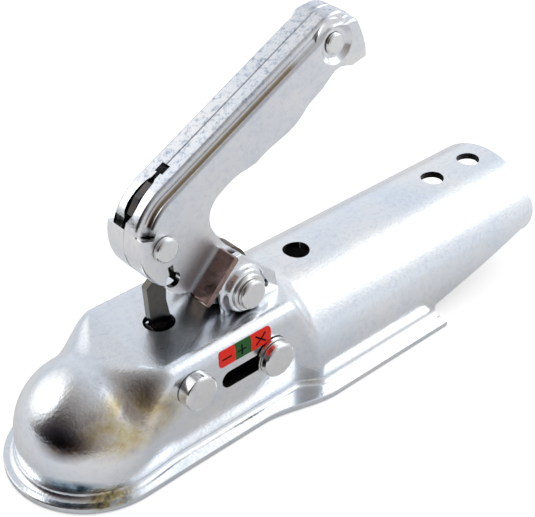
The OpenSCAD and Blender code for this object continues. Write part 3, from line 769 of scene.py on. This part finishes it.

# %% [markdown]
# The handle has tints of its own and one painted reflection. Its flat side is dull, its stop flange is
# brown, the round under the web has a gold line, which is a painted reflection, and the back of the web is
# scuffed by hands and gloves. They are told apart by their distance from the middle plane.

# %% Tints and a painted reflection on the handle
def handle_marks_and_reflection(tree, where, tint, gloss):
    flat = band(tree, where, "Y", [(10.30, 0), (10.42, 1), (10.7, 1), (11.1, 0)])
    gloss = mixed(tree, "MIX", flat, gloss, grey(0.42))
    flange = band(tree, where, "Y", [(11.2, 0), (12.2, 1)])
    brown = patchy(tree, where, 260.0, 5.0, 0.7, [(0.35, (0.30, 0.19, 0.16)), (0.65, (0.50, 0.35, 0.30))])
    tint = mixed(tree, "MULTIPLY", flange, tint, brown)
    above = band(tree, where, "Z", [(79, 0), (82, 1)])
    back = mixed(tree, "MULTIPLY", 1.0, band(tree, where, "Y", [(6.4, 0.85), (7.1, 0)]), above)
    scuff = patchy(tree, where, 420.0, 8.0, 0.8, [(0.36, (0.34, 0.43, 0.56)), (0.50, (0.93, 0.94, 0.96))])
    tint = mixed(tree, "MULTIPLY", back, tint, scuff)
    # The gold line on the round under the web is a painted reflection.
    step = band(tree, where, "Y", [(7.25, 0), (7.6, 1), (8.5, 1), (9.2, 0)])
    step = mixed(tree, "MULTIPLY", 1.0, step, above)
    step = mixed(tree, "MULTIPLY", 1.0, step, band(tree, where, "X", [(94, 1), (98, 0)]))
    return mixed(tree, "MULTIPLY", step, tint, (0.52, 0.40, 0.24)), gloss


# %% [markdown]
# Zinc plate is bright, faintly blue or gold, and never quite even: the bath leaves clouds of
# slightly different tint and gloss, and the sheet under it keeps a fine grain. The material
# is a full metal with four noises: clouds of tint, dark specks, patches of gloss, and a fine
# grain that goes to the bump. Bare springs and castings are the same metal with other tints,
# and the catch is the same metal tinted near black as painted shade, for the shaded opening it sits in.

# %% Metals
def zinc(name, low, high, gloss, grain, grain_scale=900.0, marks_and_reflections=None):
    material, tree, where = started(name)
    tint = patchy(tree, where, 28.0, 4.0, 0.6, [(0.32, low), (0.68, high)])
    specks = patchy(tree, where, 420.0, 6.0, 0.75, [(0.36, (0.80, 0.83, 0.88)), (0.52, grey(1))])
    tint = mixed(tree, "MULTIPLY", 0.5, tint, specks)
    rough = patchy(tree, where, 60.0, 5.0, 0.65, [(0.3, grey(gloss[0])), (0.7, grey(gloss[1]))])
    if marks_and_reflections:
        tint, rough = marks_and_reflections(tree, where, tint, rough)
    shader = add(tree, "ShaderNodeBsdfPrincipled")
    shader.inputs["Metallic"].default_value = 1.0
    tree.links.new(mixed(tree, "MULTIPLY", 1.0, tint, hollow_shade(tree)), shader.inputs["Base Color"])
    tree.links.new(rough, shader.inputs["Roughness"])
    bump = add(tree, "ShaderNodeBump")
    bump.inputs["Strength"].default_value = grain
    bump.inputs["Distance"].default_value = 0.0001
    tree.links.new(noise(tree, where, grain_scale, 3.0, 0.6), bump.inputs["Height"])
    tree.links.new(bump.outputs["Normal"], shader.inputs["Normal"])
    closed(tree, shader.outputs["BSDF"])
    return material


zinc_sheet = zinc("zinc_sheet", (0.80, 0.86, 0.93), (0.94, 0.93, 0.92), (0.10, 0.22), 0.9, 800.0,
                  marks_and_reflections=housing_reflections_and_dull_top)
zinc_handle = zinc("zinc_handle", (0.78, 0.82, 0.88), (0.92, 0.91, 0.90), (0.12, 0.24), 0.35,
                   marks_and_reflections=handle_marks_and_reflection)
zinc_inside = zinc("zinc_inside", (0.05, 0.05, 0.055), (0.09, 0.085, 0.08), (0.3, 0.45), 0.3)
zinc_pins = zinc("zinc_pins", (0.84, 0.85, 0.86), (0.92, 0.91, 0.89), (0.16, 0.28), 0.2, 1400.0)
spring_steel = zinc("spring_steel", (0.26, 0.27, 0.29), (0.38, 0.38, 0.40), (0.3, 0.45), 0.2)
# The catch is tinted near black as painted shade: it sits in the shaded opening.
catch_painted_shade = zinc("catch_painted_shade", (0.035, 0.035, 0.04), (0.10, 0.09, 0.075), (0.16, 0.30), 0.2)
castings = zinc("lock_castings", (0.10, 0.075, 0.065), (0.24, 0.18, 0.15), (0.3, 0.5), 0.6, 500.0)
print("nodes in the sheet's material:", len(zinc_sheet.node_tree.nodes))

# %% [markdown]
# Little light gets inside a pressing, so the inner faces take a second, dark material. A face
# of the housing is inside if it lies deeper than half the sheet under the outer form. In the
# handle, the depth under the web tells it.

# %% Inner faces
def paint(obj, material):
    obj.data.materials.clear()
    obj.data.materials.append(material)
    return obj


def darken_inside(obj, is_inside):
    obj.data.materials.append(zinc_inside)
    count = 0
    for face in obj.data.polygons:
        if is_inside(face.center / MM):
            face.material_index = 1
            count += 1
    print(obj.name, "inside faces:", count)


def inside_housing(place):
    w, r, top = section_sizes(max(0.0, -place.x))[:3]
    across = math.hypot(max(0.0, place.x), place.y) - (w - r)
    up = place.z - (top - r)
    depth = math.hypot(across, up) if across > 0 and up > 0 else max(across, up)
    return depth < r - SHEET / 2


INSIDE_END, SEAM_GAP, STEP_HALF = -88, 0.5, 4.75
DEPTH_IN_WEB, DEPTH_IN_STEP = 2.0, 4.2


def inside_handle(place):
    dx, dz = place.x - PIVOT_X, place.z - PIVOT_Z
    c, s = math.cos(OPEN_ANGLE), math.sin(OPEN_ANGLE)
    u, w = c * dx - s * dz, s * dx + c * dz
    depth = WEB_Z - w
    if u > ARC_X:
        depth = WEB_Z - ARC_Z - math.hypot(u - ARC_X, w - ARC_Z)
    y = abs(place.y)
    enough = DEPTH_IN_WEB if y < STEP_HALF else DEPTH_IN_STEP
    return u > INSIDE_END and SEAM_GAP < y < PLATE_IN + PIN_ROOM and depth > enough


paint(housing, zinc_sheet)
darken_inside(housing, inside_housing)
for side in (left, right):
    paint(side, zinc_handle)
    darken_inside(side, inside_handle)

# %% [markdown]
# Pins and springs repeat one rule each, so Geometry Nodes make them from named sizes. Both
# trees start with the same kind of inputs and end the same way: the instances are made real
# and the material is set, because an export drops bare instances.

# %% Start and end of a tree
def new_tree(name, sizes):
    tree = bpy.data.node_groups.new(name, "GeometryNodeTree")
    tree.interface.new_socket("Geometry", in_out="OUTPUT", socket_type="NodeSocketGeometry")
    for size in sizes:
        tree.interface.new_socket(size, in_out="INPUT", socket_type="NodeSocketFloat")
    tree.interface.new_socket("Material", in_out="INPUT", socket_type="NodeSocketMaterial")
    return tree, add(tree, "NodeGroupInput").outputs


def end_tree(tree, geometry, material):
    real = add(tree, "GeometryNodeRealizeInstances")
    coat = add(tree, "GeometryNodeSetMaterial")
    tree.links.new(geometry, real.inputs["Geometry"])
    tree.links.new(real.outputs["Geometry"], coat.inputs["Geometry"])
    tree.links.new(material, coat.inputs["Material"])
    tree.links.new(coat.outputs["Geometry"], add(tree, "NodeGroupOutput").inputs["Geometry"])
    return tree


# %% [markdown]
# A head is four stacked discs: an eased foot, a straight rim, and two sloped edges that round
# it off. With the shank they make half a pin, and two instances of it, turned by half a
# turn about X, make the whole one.

# %% Geometry Nodes tree for a headed pin
FOOT_SHARE, FIRST_SHARE = 0.4, 0.6
OVERLAP = 0.2
ROUND_STEPS = 72


def disc(tree, r_low, r_high, height, base):
    cone = add(tree, "GeometryNodeMeshCone")
    cone.inputs["Vertices"].default_value = ROUND_STEPS
    tree.links.new(r_high, cone.inputs["Radius Top"])
    tree.links.new(r_low, cone.inputs["Radius Bottom"])
    tree.links.new(height, cone.inputs["Depth"])
    shift = add(tree, "ShaderNodeCombineXYZ")
    tree.links.new(base, shift.inputs["Z"])
    move = add(tree, "GeometryNodeTransform")
    tree.links.new(cone.outputs["Mesh"], move.inputs["Geometry"])
    tree.links.new(shift.outputs[0], move.inputs["Translation"])
    return move.outputs["Geometry"]


def half_pin(tree, sizes):
    seat, r, height, edge = (sizes[k] for k in ("Seat", "Head radius", "Head height", "Edge"))
    foot = number(tree, "MULTIPLY", edge, FOOT_SHARE)
    first = number(tree, "MULTIPLY", edge, FIRST_SHARE)
    straight = number(tree, "SUBTRACT", number(tree, "SUBTRACT", height, edge), foot)
    eased, small = number(tree, "SUBTRACT", r, foot), number(tree, "SUBTRACT", r, edge)
    rim_at = number(tree, "ADD", seat, foot)
    edge_at = number(tree, "ADD", rim_at, straight)
    top_at = number(tree, "ADD", edge_at, first)
    shank, length = sizes["Shank radius"], number(tree, "ADD", seat, OVERLAP * MM)
    join = add(tree, "GeometryNodeJoinGeometry")
    for part in (disc(tree, eased, r, foot, seat), disc(tree, r, r, straight, rim_at),
                 disc(tree, r, eased, first, edge_at),
                 disc(tree, eased, small, number(tree, "SUBTRACT", edge, first), top_at),
                 disc(tree, shank, shank, length, number(tree, "MULTIPLY", seat, 0.0))):
        tree.links.new(part, join.inputs["Geometry"])
    return join.outputs["Geometry"]


def pin_tree():
    tree, sizes = new_tree("headed_pin", ("Shank radius", "Seat", "Head radius", "Head height", "Edge"))
    ends = add(tree, "GeometryNodeMeshLine")
    ends.inputs["Count"].default_value = 2
    ends.inputs["Offset"].default_value = (0, 0, 0)
    turn = add(tree, "ShaderNodeCombineXYZ")
    half_turns = number(tree, "MULTIPLY", add(tree, "GeometryNodeInputIndex").outputs[0], math.pi)
    tree.links.new(number(tree, "SUBTRACT", half_turns, math.pi / 2), turn.inputs["X"])
    copies = add(tree, "GeometryNodeInstanceOnPoints")
    tree.links.new(ends.outputs["Mesh"], copies.inputs["Points"])
    tree.links.new(half_pin(tree, sizes), copies.inputs["Instance"])
    tree.links.new(turn.outputs[0], copies.inputs["Rotation"])
    return end_tree(tree, copies.outputs["Instances"], sizes["Material"])


headed_pin = pin_tree()
print("pin tree:", len(headed_pin.nodes), "nodes")

# %% [markdown]
# A tree runs as a modifier on an empty mesh. Its inputs are set by identifier before the
# object is first evaluated, the result is kept as a plain mesh, and the modifier goes.

# %% Running a tree
def socket_id(tree, name):
    for item in tree.interface.items_tree:
        if item.name == name and item.item_type == "SOCKET" and item.in_out == "INPUT":
            return item.identifier
    raise KeyError(name)


def run_tree(name, tree, values):
    holder = linked(name, bpy.data.meshes.new(name))
    maker = holder.modifiers.new("maker", "NODES")
    maker.node_group = tree
    for key, value in values.items():
        maker[socket_id(tree, key)] = value
    return settle(holder)


print("an input's identifier:", socket_id(headed_pin, "Seat"))

# %% [markdown]
# The bolt has two heads on each side, a collar and a smaller end on it. The jaw pin has a
# different head on each side, so it is joined from two halves. Sizes of a head are its
# radius, its height and the width of its edge.

# %% Pins and rivets
JAW_HEAD, JAW_TAIL = (7.3, 5.6, 0.9), (5.9, 1.3, 0.5)


def opened(x, z):
    c, s = math.cos(OPEN_ANGLE), math.sin(OPEN_ANGLE)
    return PIVOT_X + c * x + s * z, PIVOT_Z - s * x + c * z


def join_mesh(target, other):
    work = bmesh.new()
    work.from_mesh(target.data)
    work.from_mesh(other.data)
    work.to_mesh(target.data)
    work.free()
    bpy.data.objects.remove(other)


def run_pin(name, place, shank, seat, head):
    radius, height, edge = head
    made = run_tree(name, headed_pin, {
        "Shank radius": shank * MM, "Seat": seat * MM, "Head radius": radius * MM,
        "Head height": height * MM, "Edge": edge * MM, "Material": zinc_pins})
    made.data.transform(Matrix.Translation(Vector((place[0], 0, place[1])) * MM))
    return made


def pin(name, place, shank, seat, head, end=None):
    made = run_pin(name, place, shank, seat, head)
    if end:
        join_mesh(made, run_pin("end", place, shank, seat + head[1], end))
    finish_mesh(made.data, 25)
    return made


def half_of(obj, side):
    work = bmesh.new()
    work.from_mesh(obj.data)
    away = [v for v in work.verts if v.co.y * side < -1e-5]
    bmesh.ops.delete(work, geom=away, context="VERTS")
    work.to_mesh(obj.data)
    work.free()
    return obj


def jaw_pin():
    made = half_of(run_pin("jaw_pin_skin", JAW_PIN, PIN_R, WALL, JAW_HEAD), 1)
    join_mesh(made, half_of(run_pin("tail", JAW_PIN, PIN_R, WALL, JAW_TAIL), -1))
    finish_mesh(made.data, 25)
    return made


pins = {
    "hinge_bolt": pin("hinge_bolt_skin", PIVOT, PIN_R, COLLAR_OUT, (7.7, 1.4, 0.4), (6, 2.6, 0.8)),
    "jaw_pin": jaw_pin(),
    "indicator_pin": pin("indicator_pin_skin", (-67.8, LOCK_Z), 3.6, WALL + 1.7, (7.4, 3.8, 0.9)),
    "catch_rivet": pin("catch_rivet_skin", opened(*CATCH_RIVET), RIVET_R, PLATE_OUT, (5.0, 2.7, 0.9)),
    "tip_rivet": pin("tip_rivet_skin", opened(*TIP_RIVET), RIVET_R, 8.5, (4.4, 1.6, 0.9)),
}
print("pins:", {k: len(v.data.polygons) for k, v in pins.items()})

# %% [markdown]
# The springs are the pieces here whose whole shape follows a rule, a round wire on a helix,
# so a second tree makes them: a spiral curve swept with a circle.

# %% Geometry Nodes tree for a coil spring
def spring_tree():
    tree, sizes = new_tree("coil_spring", ("Turns", "Radius", "Length", "Wire radius"))
    spiral = add(tree, "GeometryNodeCurveSpiral")
    spiral.inputs["Resolution"].default_value = 40
    for size, socket in (("Turns", "Rotations"), ("Radius", "Start Radius"), ("Radius", "End Radius"),
                         ("Length", "Height")):
        tree.links.new(sizes[size], spiral.inputs[socket])
    wire = add(tree, "GeometryNodeCurvePrimitiveCircle")
    wire.inputs["Resolution"].default_value = 14
    tree.links.new(sizes["Wire radius"], wire.inputs["Radius"])
    sweep = add(tree, "GeometryNodeCurveToMesh")
    sweep.inputs["Fill Caps"].default_value = True
    tree.links.new(spiral.outputs["Curve"], sweep.inputs["Curve"])
    tree.links.new(wire.outputs["Curve"], sweep.inputs["Profile Curve"])
    return end_tree(tree, sweep.outputs["Mesh"], sizes["Material"])


coil_spring = spring_tree()
print("spring tree:", len(coil_spring.nodes), "nodes")

# %% [markdown]
# A coil is made once along Z and copied to its places. The catch and the jaw have one coil on
# each side, turned so that they wind as a pair.

# %% Springs in their places
def spring(name, radius, wire, length, turns, moves):
    made = run_tree(name, coil_spring, {
        "Turns": turns, "Radius": radius * MM, "Length": length * MM,
        "Wire radius": wire * MM, "Material": spring_steel})
    work = bmesh.new()
    for move in moves:
        copy = made.data.copy()
        copy.transform(move)
        work.from_mesh(copy)
    work.to_mesh(made.data)
    work.free()
    finish_mesh(made.data, 40)
    return made


def at(x, y, z, turn, axis):
    return (Matrix.Translation(Vector((x, y, z)) * MM)
            @ Matrix.Rotation(math.radians(turn), 4, axis))


def pair(place, y):
    return [at(place[0], side * y, place[1], -90 * side, "X") for side in (1, -1)]


springs = {
    "catch_spring": spring("catch_spring_skin", 4.15, 0.7, 2.9, 1.75, pair(opened(*CATCH_RIVET), 2.6)),
    "jaw_spring": spring("jaw_spring_skin", 6.55, 1.0, 0.3, 0.97, pair(JAW_PIN, 14.4)),
    "pressure_spring": spring("pressure_spring_skin", 6.2, 1.1, 11.2, 4,
                              [at(-91.7, 0, LOCK_Z, 90, "Y")]),
}
print("springs:", {k: len(v.data.polygons) for k, v in springs.items()})

# %% [markdown]
# The indicator label is a thin film on the left wall, red, green and red, with a minus, a
# plus and a cross to show how far the pin has slid. It is a narrow grid laid on the wall and
# a little way over the shoulder. Its colours follow the place along X.

# %% Indicator label
LABEL_FRONT, LABEL_REAR, LABEL_LOW, LABEL_ARC = -41.2, -67.2, 21.4, 31.0


def on_wall(s, proud):
    flat = TOP - SHOULDER - LABEL_LOW
    if s < flat:
        return WALL + proud, LABEL_LOW + s
    a = (s - flat) / SHOULDER
    r = SHOULDER + proud
    return WALL - SHOULDER + r * math.cos(a), TOP - SHOULDER + r * math.sin(a)


LABEL_RUN = TOP - SHOULDER - LABEL_LOW + SHOULDER * math.radians(LABEL_ARC)


def label_mesh():
    points, faces = [], []
    nx, ns, corner = 60, 16, 1.6
    for proud in (0.02, 0.26):
        for i in range(nx + 1):
            x = mix(LABEL_REAR, LABEL_FRONT, i / nx)
            inset = min(x - LABEL_REAR, LABEL_FRONT - x)
            cut = 0.0
            if inset < corner:
                cut = corner - math.sqrt(max(0.0, corner ** 2 - (corner - inset) ** 2))
            for j in range(ns + 1):
                y, z = on_wall(mix(cut, LABEL_RUN - cut, j / ns), proud)
                points.append((x, y, z))
    n, m = (nx + 1) * (ns + 1), ns + 1
    for i in range(nx):
        for j in range(ns):
            a = i * m + j
            faces.append((a, a + 1, a + m + 1, a + m))
            faces.append((n + a, n + a + m, n + a + m + 1, n + a + 1))
    border = ([i * m for i in range(nx + 1)] + [nx * m + j for j in range(1, m)]
              + [i * m + ns for i in range(nx - 1, -1, -1)] + [j for j in range(ns - 1, 0, -1)])
    for a, b in zip(border, border[1:] + border[:1]):
        faces.append((a, b, n + b, n + a))
    return solid("indicator_label_skin", points, faces, 40)


RED, GREEN = (0.97, 0.030, 0.014), (0.022, 0.125, 0.026)


def printed(tree, colour, rough, gloss):
    shader = add(tree, "ShaderNodeBsdfPrincipled")
    shader.inputs["Roughness"].default_value = rough
    shader.inputs["Specular IOR Level"].default_value = gloss
    tree.links.new(colour, shader.inputs["Base Color"])
    closed(tree, shader.outputs["BSDF"])


def label_film():
    material, tree, where = started("label_film")
    split = add(tree, "ShaderNodeSeparateXYZ")
    tree.links.new(where, split.inputs[0])
    span = add(tree, "ShaderNodeMapRange")
    span.inputs["From Min"].default_value = LABEL_REAR * MM
    span.inputs["From Max"].default_value = LABEL_FRONT * MM
    tree.links.new(split.outputs["X"], span.inputs["Value"])
    fields = ramp(tree, [(0.0, RED), (0.385, GREEN), (0.69, RED)], span.outputs["Result"], "CONSTANT")
    wear = patchy(tree, where, 400.0, 4.0, 0.5, [(0.3, grey(0.7)), (0.6, grey(1))])
    printed(tree, mixed(tree, "MULTIPLY", 0.2, fields, wear), 0.4, 0.2)
    return material


label = paint(label_mesh(), label_film())
print("label:", len(label.data.polygons), "faces")

# %% [markdown]
# The signs on the label are printed bars. Each one is a thin strip that follows the film,
# standing a few hundredths of a millimetre proud so that it never flickers into it.

# %% Signs on the label
def bar(x0, s0, x1, s1, width):
    points, faces, steps = [], [], 8
    length = math.hypot(x1 - x0, s1 - s0)
    nx, ns = -(s1 - s0) / length * width / 2, (x1 - x0) / length * width / 2
    for proud in (0.20, 0.31):
        for k in range(steps + 1):
            x, s = mix(x0, x1, k / steps), mix(s0, s1, k / steps)
            for side in (1, -1):
                y, z = on_wall(s + side * ns, proud)
                points.append((x + side * nx, y, z))
    n = 2 * (steps + 1)
    for k in range(steps):
        a = 2 * k
        faces += [(a, a + 2, a + 3, a + 1), (n + a, n + a + 1, n + a + 3, n + a + 2),
                  (a, n + a, n + a + 2, a + 2), (a + 1, a + 3, n + a + 3, n + a + 1)]
    faces += [(0, 1, n + 1, n), (n - 2, n - 1, 2 * n - 1, 2 * n - 2)]
    return points, faces


def signs_mesh():
    points, faces = [], []
    for spec in ((-42.6, 3.6, -47.2, 3.6, 0.75), (-50.2, 3.6, -54.6, 3.6, 0.7),
                 (-52.4, 1.3, -52.4, 5.9, 0.7), (-59.4, 1.6, -64.4, 5.7, 0.7),
                 (-64.4, 1.6, -59.4, 5.7, 0.7)):
        p, f = bar(*spec)
        base = len(points)
        points += p
        faces += [tuple(i + base for i in face) for face in f]
    return solid("label_signs", points, faces)


def plain_ink():
    material, tree, where = started("label_ink")
    tint = patchy(tree, where, 700.0, 3.0, 0.5,
                  [(0.3, (0.004, 0.004, 0.005)), (0.7, (0.012, 0.012, 0.012))])
    printed(tree, tint, 0.6, 0.05)
    return material


signs = paint(signs_mesh(), plain_ink())
print("signs:", len(signs.data.polygons), "faces")

# %% [markdown]
# The skins now take the place of their solids, and each rides on the same moving body. The
# solids that stay visible get the metals as well.

# %% Who stands for whom
def stand_in(skin, body, slot, *solids):
    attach(skin, body)
    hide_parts(*solids)


stand_in(housing, "head", "zinc_sheet", "housing")
stand_in(left, "handle", "zinc_sheet", "handle_left")
stand_in(right, "handle", "zinc_sheet", "handle_right")
stand_in(label, "head", "label", "indicator_label")
stand_in(signs, "head", "label")
for name, body in (("hinge_bolt", "head"), ("jaw_pin", "head"), ("indicator_pin", "slider"),
                   ("catch_rivet", "handle"), ("tip_rivet", "handle")):
    stand_in(pins[name], body, "bright_pins", name)
for name, body in (("catch_spring", "handle"), ("jaw_spring", "head"), ("pressure_spring", "head")):
    stand_in(springs[name], body, "spring_steel", name)
BARE = {"hinge_bushes": zinc_pins, "hinge_washers": zinc_pins, "jaw_spacers": zinc_pins,
        "indicator_washers": zinc_pins, "tip_spacer": zinc_pins, "spring_guide": zinc_pins,
        "spring_bracket": zinc_sheet, "drive_cam": castings, "ball_jaw": castings,
        "lock_slider": castings, "safety_catch": catch_painted_shade}
for name, material in BARE.items():
    paint(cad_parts[name], material)
print("solids left to show:", len(BARE))

# %% [markdown]
# The set is a plain white floor. The photograph's background is pure white, so the floor
# glows a little for the camera only. That glow doesn't light the head, and the shadow under
# it stays. Right under the head the floor carries a painted shadow, dark as the inside of a
# closed pressing would look, so that no light shows through the slots.

# %% Floor
UNDER_HEAD, UNDER_REACH = (-66, 0, BASE), (84, 24, 50)
FLOOR_HALF, FLOOR_GAP, FLOOR_GLOW = 3000, 0.1, 0.55


def floor_material():
    material, tree, where = started("floor_white")
    # The dark patch under the head is a painted shadow: the paper goes nearly black and the camera glow is
    # off there.
    painted_shadow = near(tree, where, UNDER_HEAD, UNDER_REACH, 0.99)
    paper = add(tree, "ShaderNodeBsdfDiffuse")
    tree.links.new(mixed(tree, "MIX", painted_shadow, grey(0.9), grey(0.02)), paper.inputs["Color"])
    glow = add(tree, "ShaderNodeEmission")
    tree.links.new(mixed(tree, "MIX", painted_shadow, grey(1.0), grey(0.0)), glow.inputs["Color"])
    glow.inputs["Strength"].default_value = FLOOR_GLOW
    both = add(tree, "ShaderNodeAddShader")
    tree.links.new(paper.outputs[0], both.inputs[0])
    tree.links.new(glow.outputs[0], both.inputs[1])
    choose = add(tree, "ShaderNodeMixShader")
    tree.links.new(add(tree, "ShaderNodeLightPath").outputs["Is Camera Ray"], choose.inputs["Fac"])
    tree.links.new(paper.outputs[0], choose.inputs[1])
    tree.links.new(both.outputs[0], choose.inputs[2])
    closed(tree, choose.outputs[0])
    return material


corners = [(x * FLOOR_HALF, y * FLOOR_HALF) for x, y in ((-1, -1), (1, -1), (1, 1), (-1, 1))]
floor = solid("floor", [(x, y, BASE - FLOOR_GAP) for x, y in corners], [(0, 1, 2, 3)])
if floor.data.polygons[0].normal.z < 0:
    floor.data.flip_normals()
paint(floor, floor_material())
print("floor at z", BASE - FLOOR_GAP)

# %% [markdown]
# Bright metal shows its surroundings, so the room matters more than the lamps. It is pale
# all round, and has one dark, warm region low down in front of the head, which the dome and the
# flat sides mirror. Two white areas stand for the soft boxes of a studio, close to the
# directions of the two lamps. The world paints this from the direction of the ray, and shows
# plain white to the camera.

# %% Room and lamps
DARK_SIDE, RIGHT_BOX, LEFT_BOX = (5, 12), (-62, 30), (150, 40)
SKY = [(0.0, (0.92, 0.94, 0.97)), (0.30, (0.76, 0.79, 0.84)), (0.50, (0.60, 0.62, 0.66)),
       (0.71, (0.40, 0.38, 0.37)), (0.85, (0.24, 0.22, 0.21)), (0.935, (0.085, 0.07, 0.065)),
       (0.97, (0.05, 0.04, 0.045)), (0.99, (0.022, 0.018, 0.022))]


def toward(azimuth, height):
    a, h = math.radians(azimuth), math.radians(height)
    return Vector((math.cos(h) * math.cos(a), math.cos(h) * math.sin(a), math.sin(h)))


def closeness(tree, where, direction):
    return vector(tree, "DOT_PRODUCT", where, toward(*direction))["Value"]


def room():
    world = bpy.data.worlds.new("room")
    bpy.context.scene.world = world
    world.use_nodes = True
    tree = world.node_tree
    tree.nodes.clear()
    where = add(tree, "ShaderNodeTexCoord").outputs["Generated"]
    dark = number(tree, "MULTIPLY_ADD", closeness(tree, where, DARK_SIDE), 0.5, 0.5)
    lit = ramp(tree, SKY, dark)
    for direction, start in ((RIGHT_BOX, 0.80), (LEFT_BOX, 0.84)):
        box = ramp(tree, [(start, grey(0)), (0.93, grey(1))], closeness(tree, where, direction))
        lit = mixed(tree, "MIX", box, lit, grey(1.1))
    seen = add(tree, "ShaderNodeLightPath").outputs["Is Camera Ray"]
    back = add(tree, "ShaderNodeBackground")
    tree.links.new(mixed(tree, "MIX", seen, lit, grey(1.0)), back.inputs["Color"])
    tree.links.new(back.outputs[0], add(tree, "ShaderNodeOutputWorld").inputs["Surface"])


def lamp(name, target, direction, distance, size, power):
    made = linked(name, bpy.data.lights.new(name, "AREA"))
    made.data.shape = "DISK"
    made.data.size = size
    made.data.energy = power
    made.location = Vector(target) + direction * distance
    made.rotation_euler = (-direction).to_track_quat("-Z", "Y").to_euler()


room()
lamp("right_lamp", (0, 0, 0.02), toward(-54, 35), 1.0, 0.62, 1.4)
lamp("left_lamp", (-0.16, 0.02, 0.02), toward(*LEFT_BOX), 0.9, 0.6, 1.2)
bpy.context.scene.view_settings.view_transform = "Standard"
print("room lit")
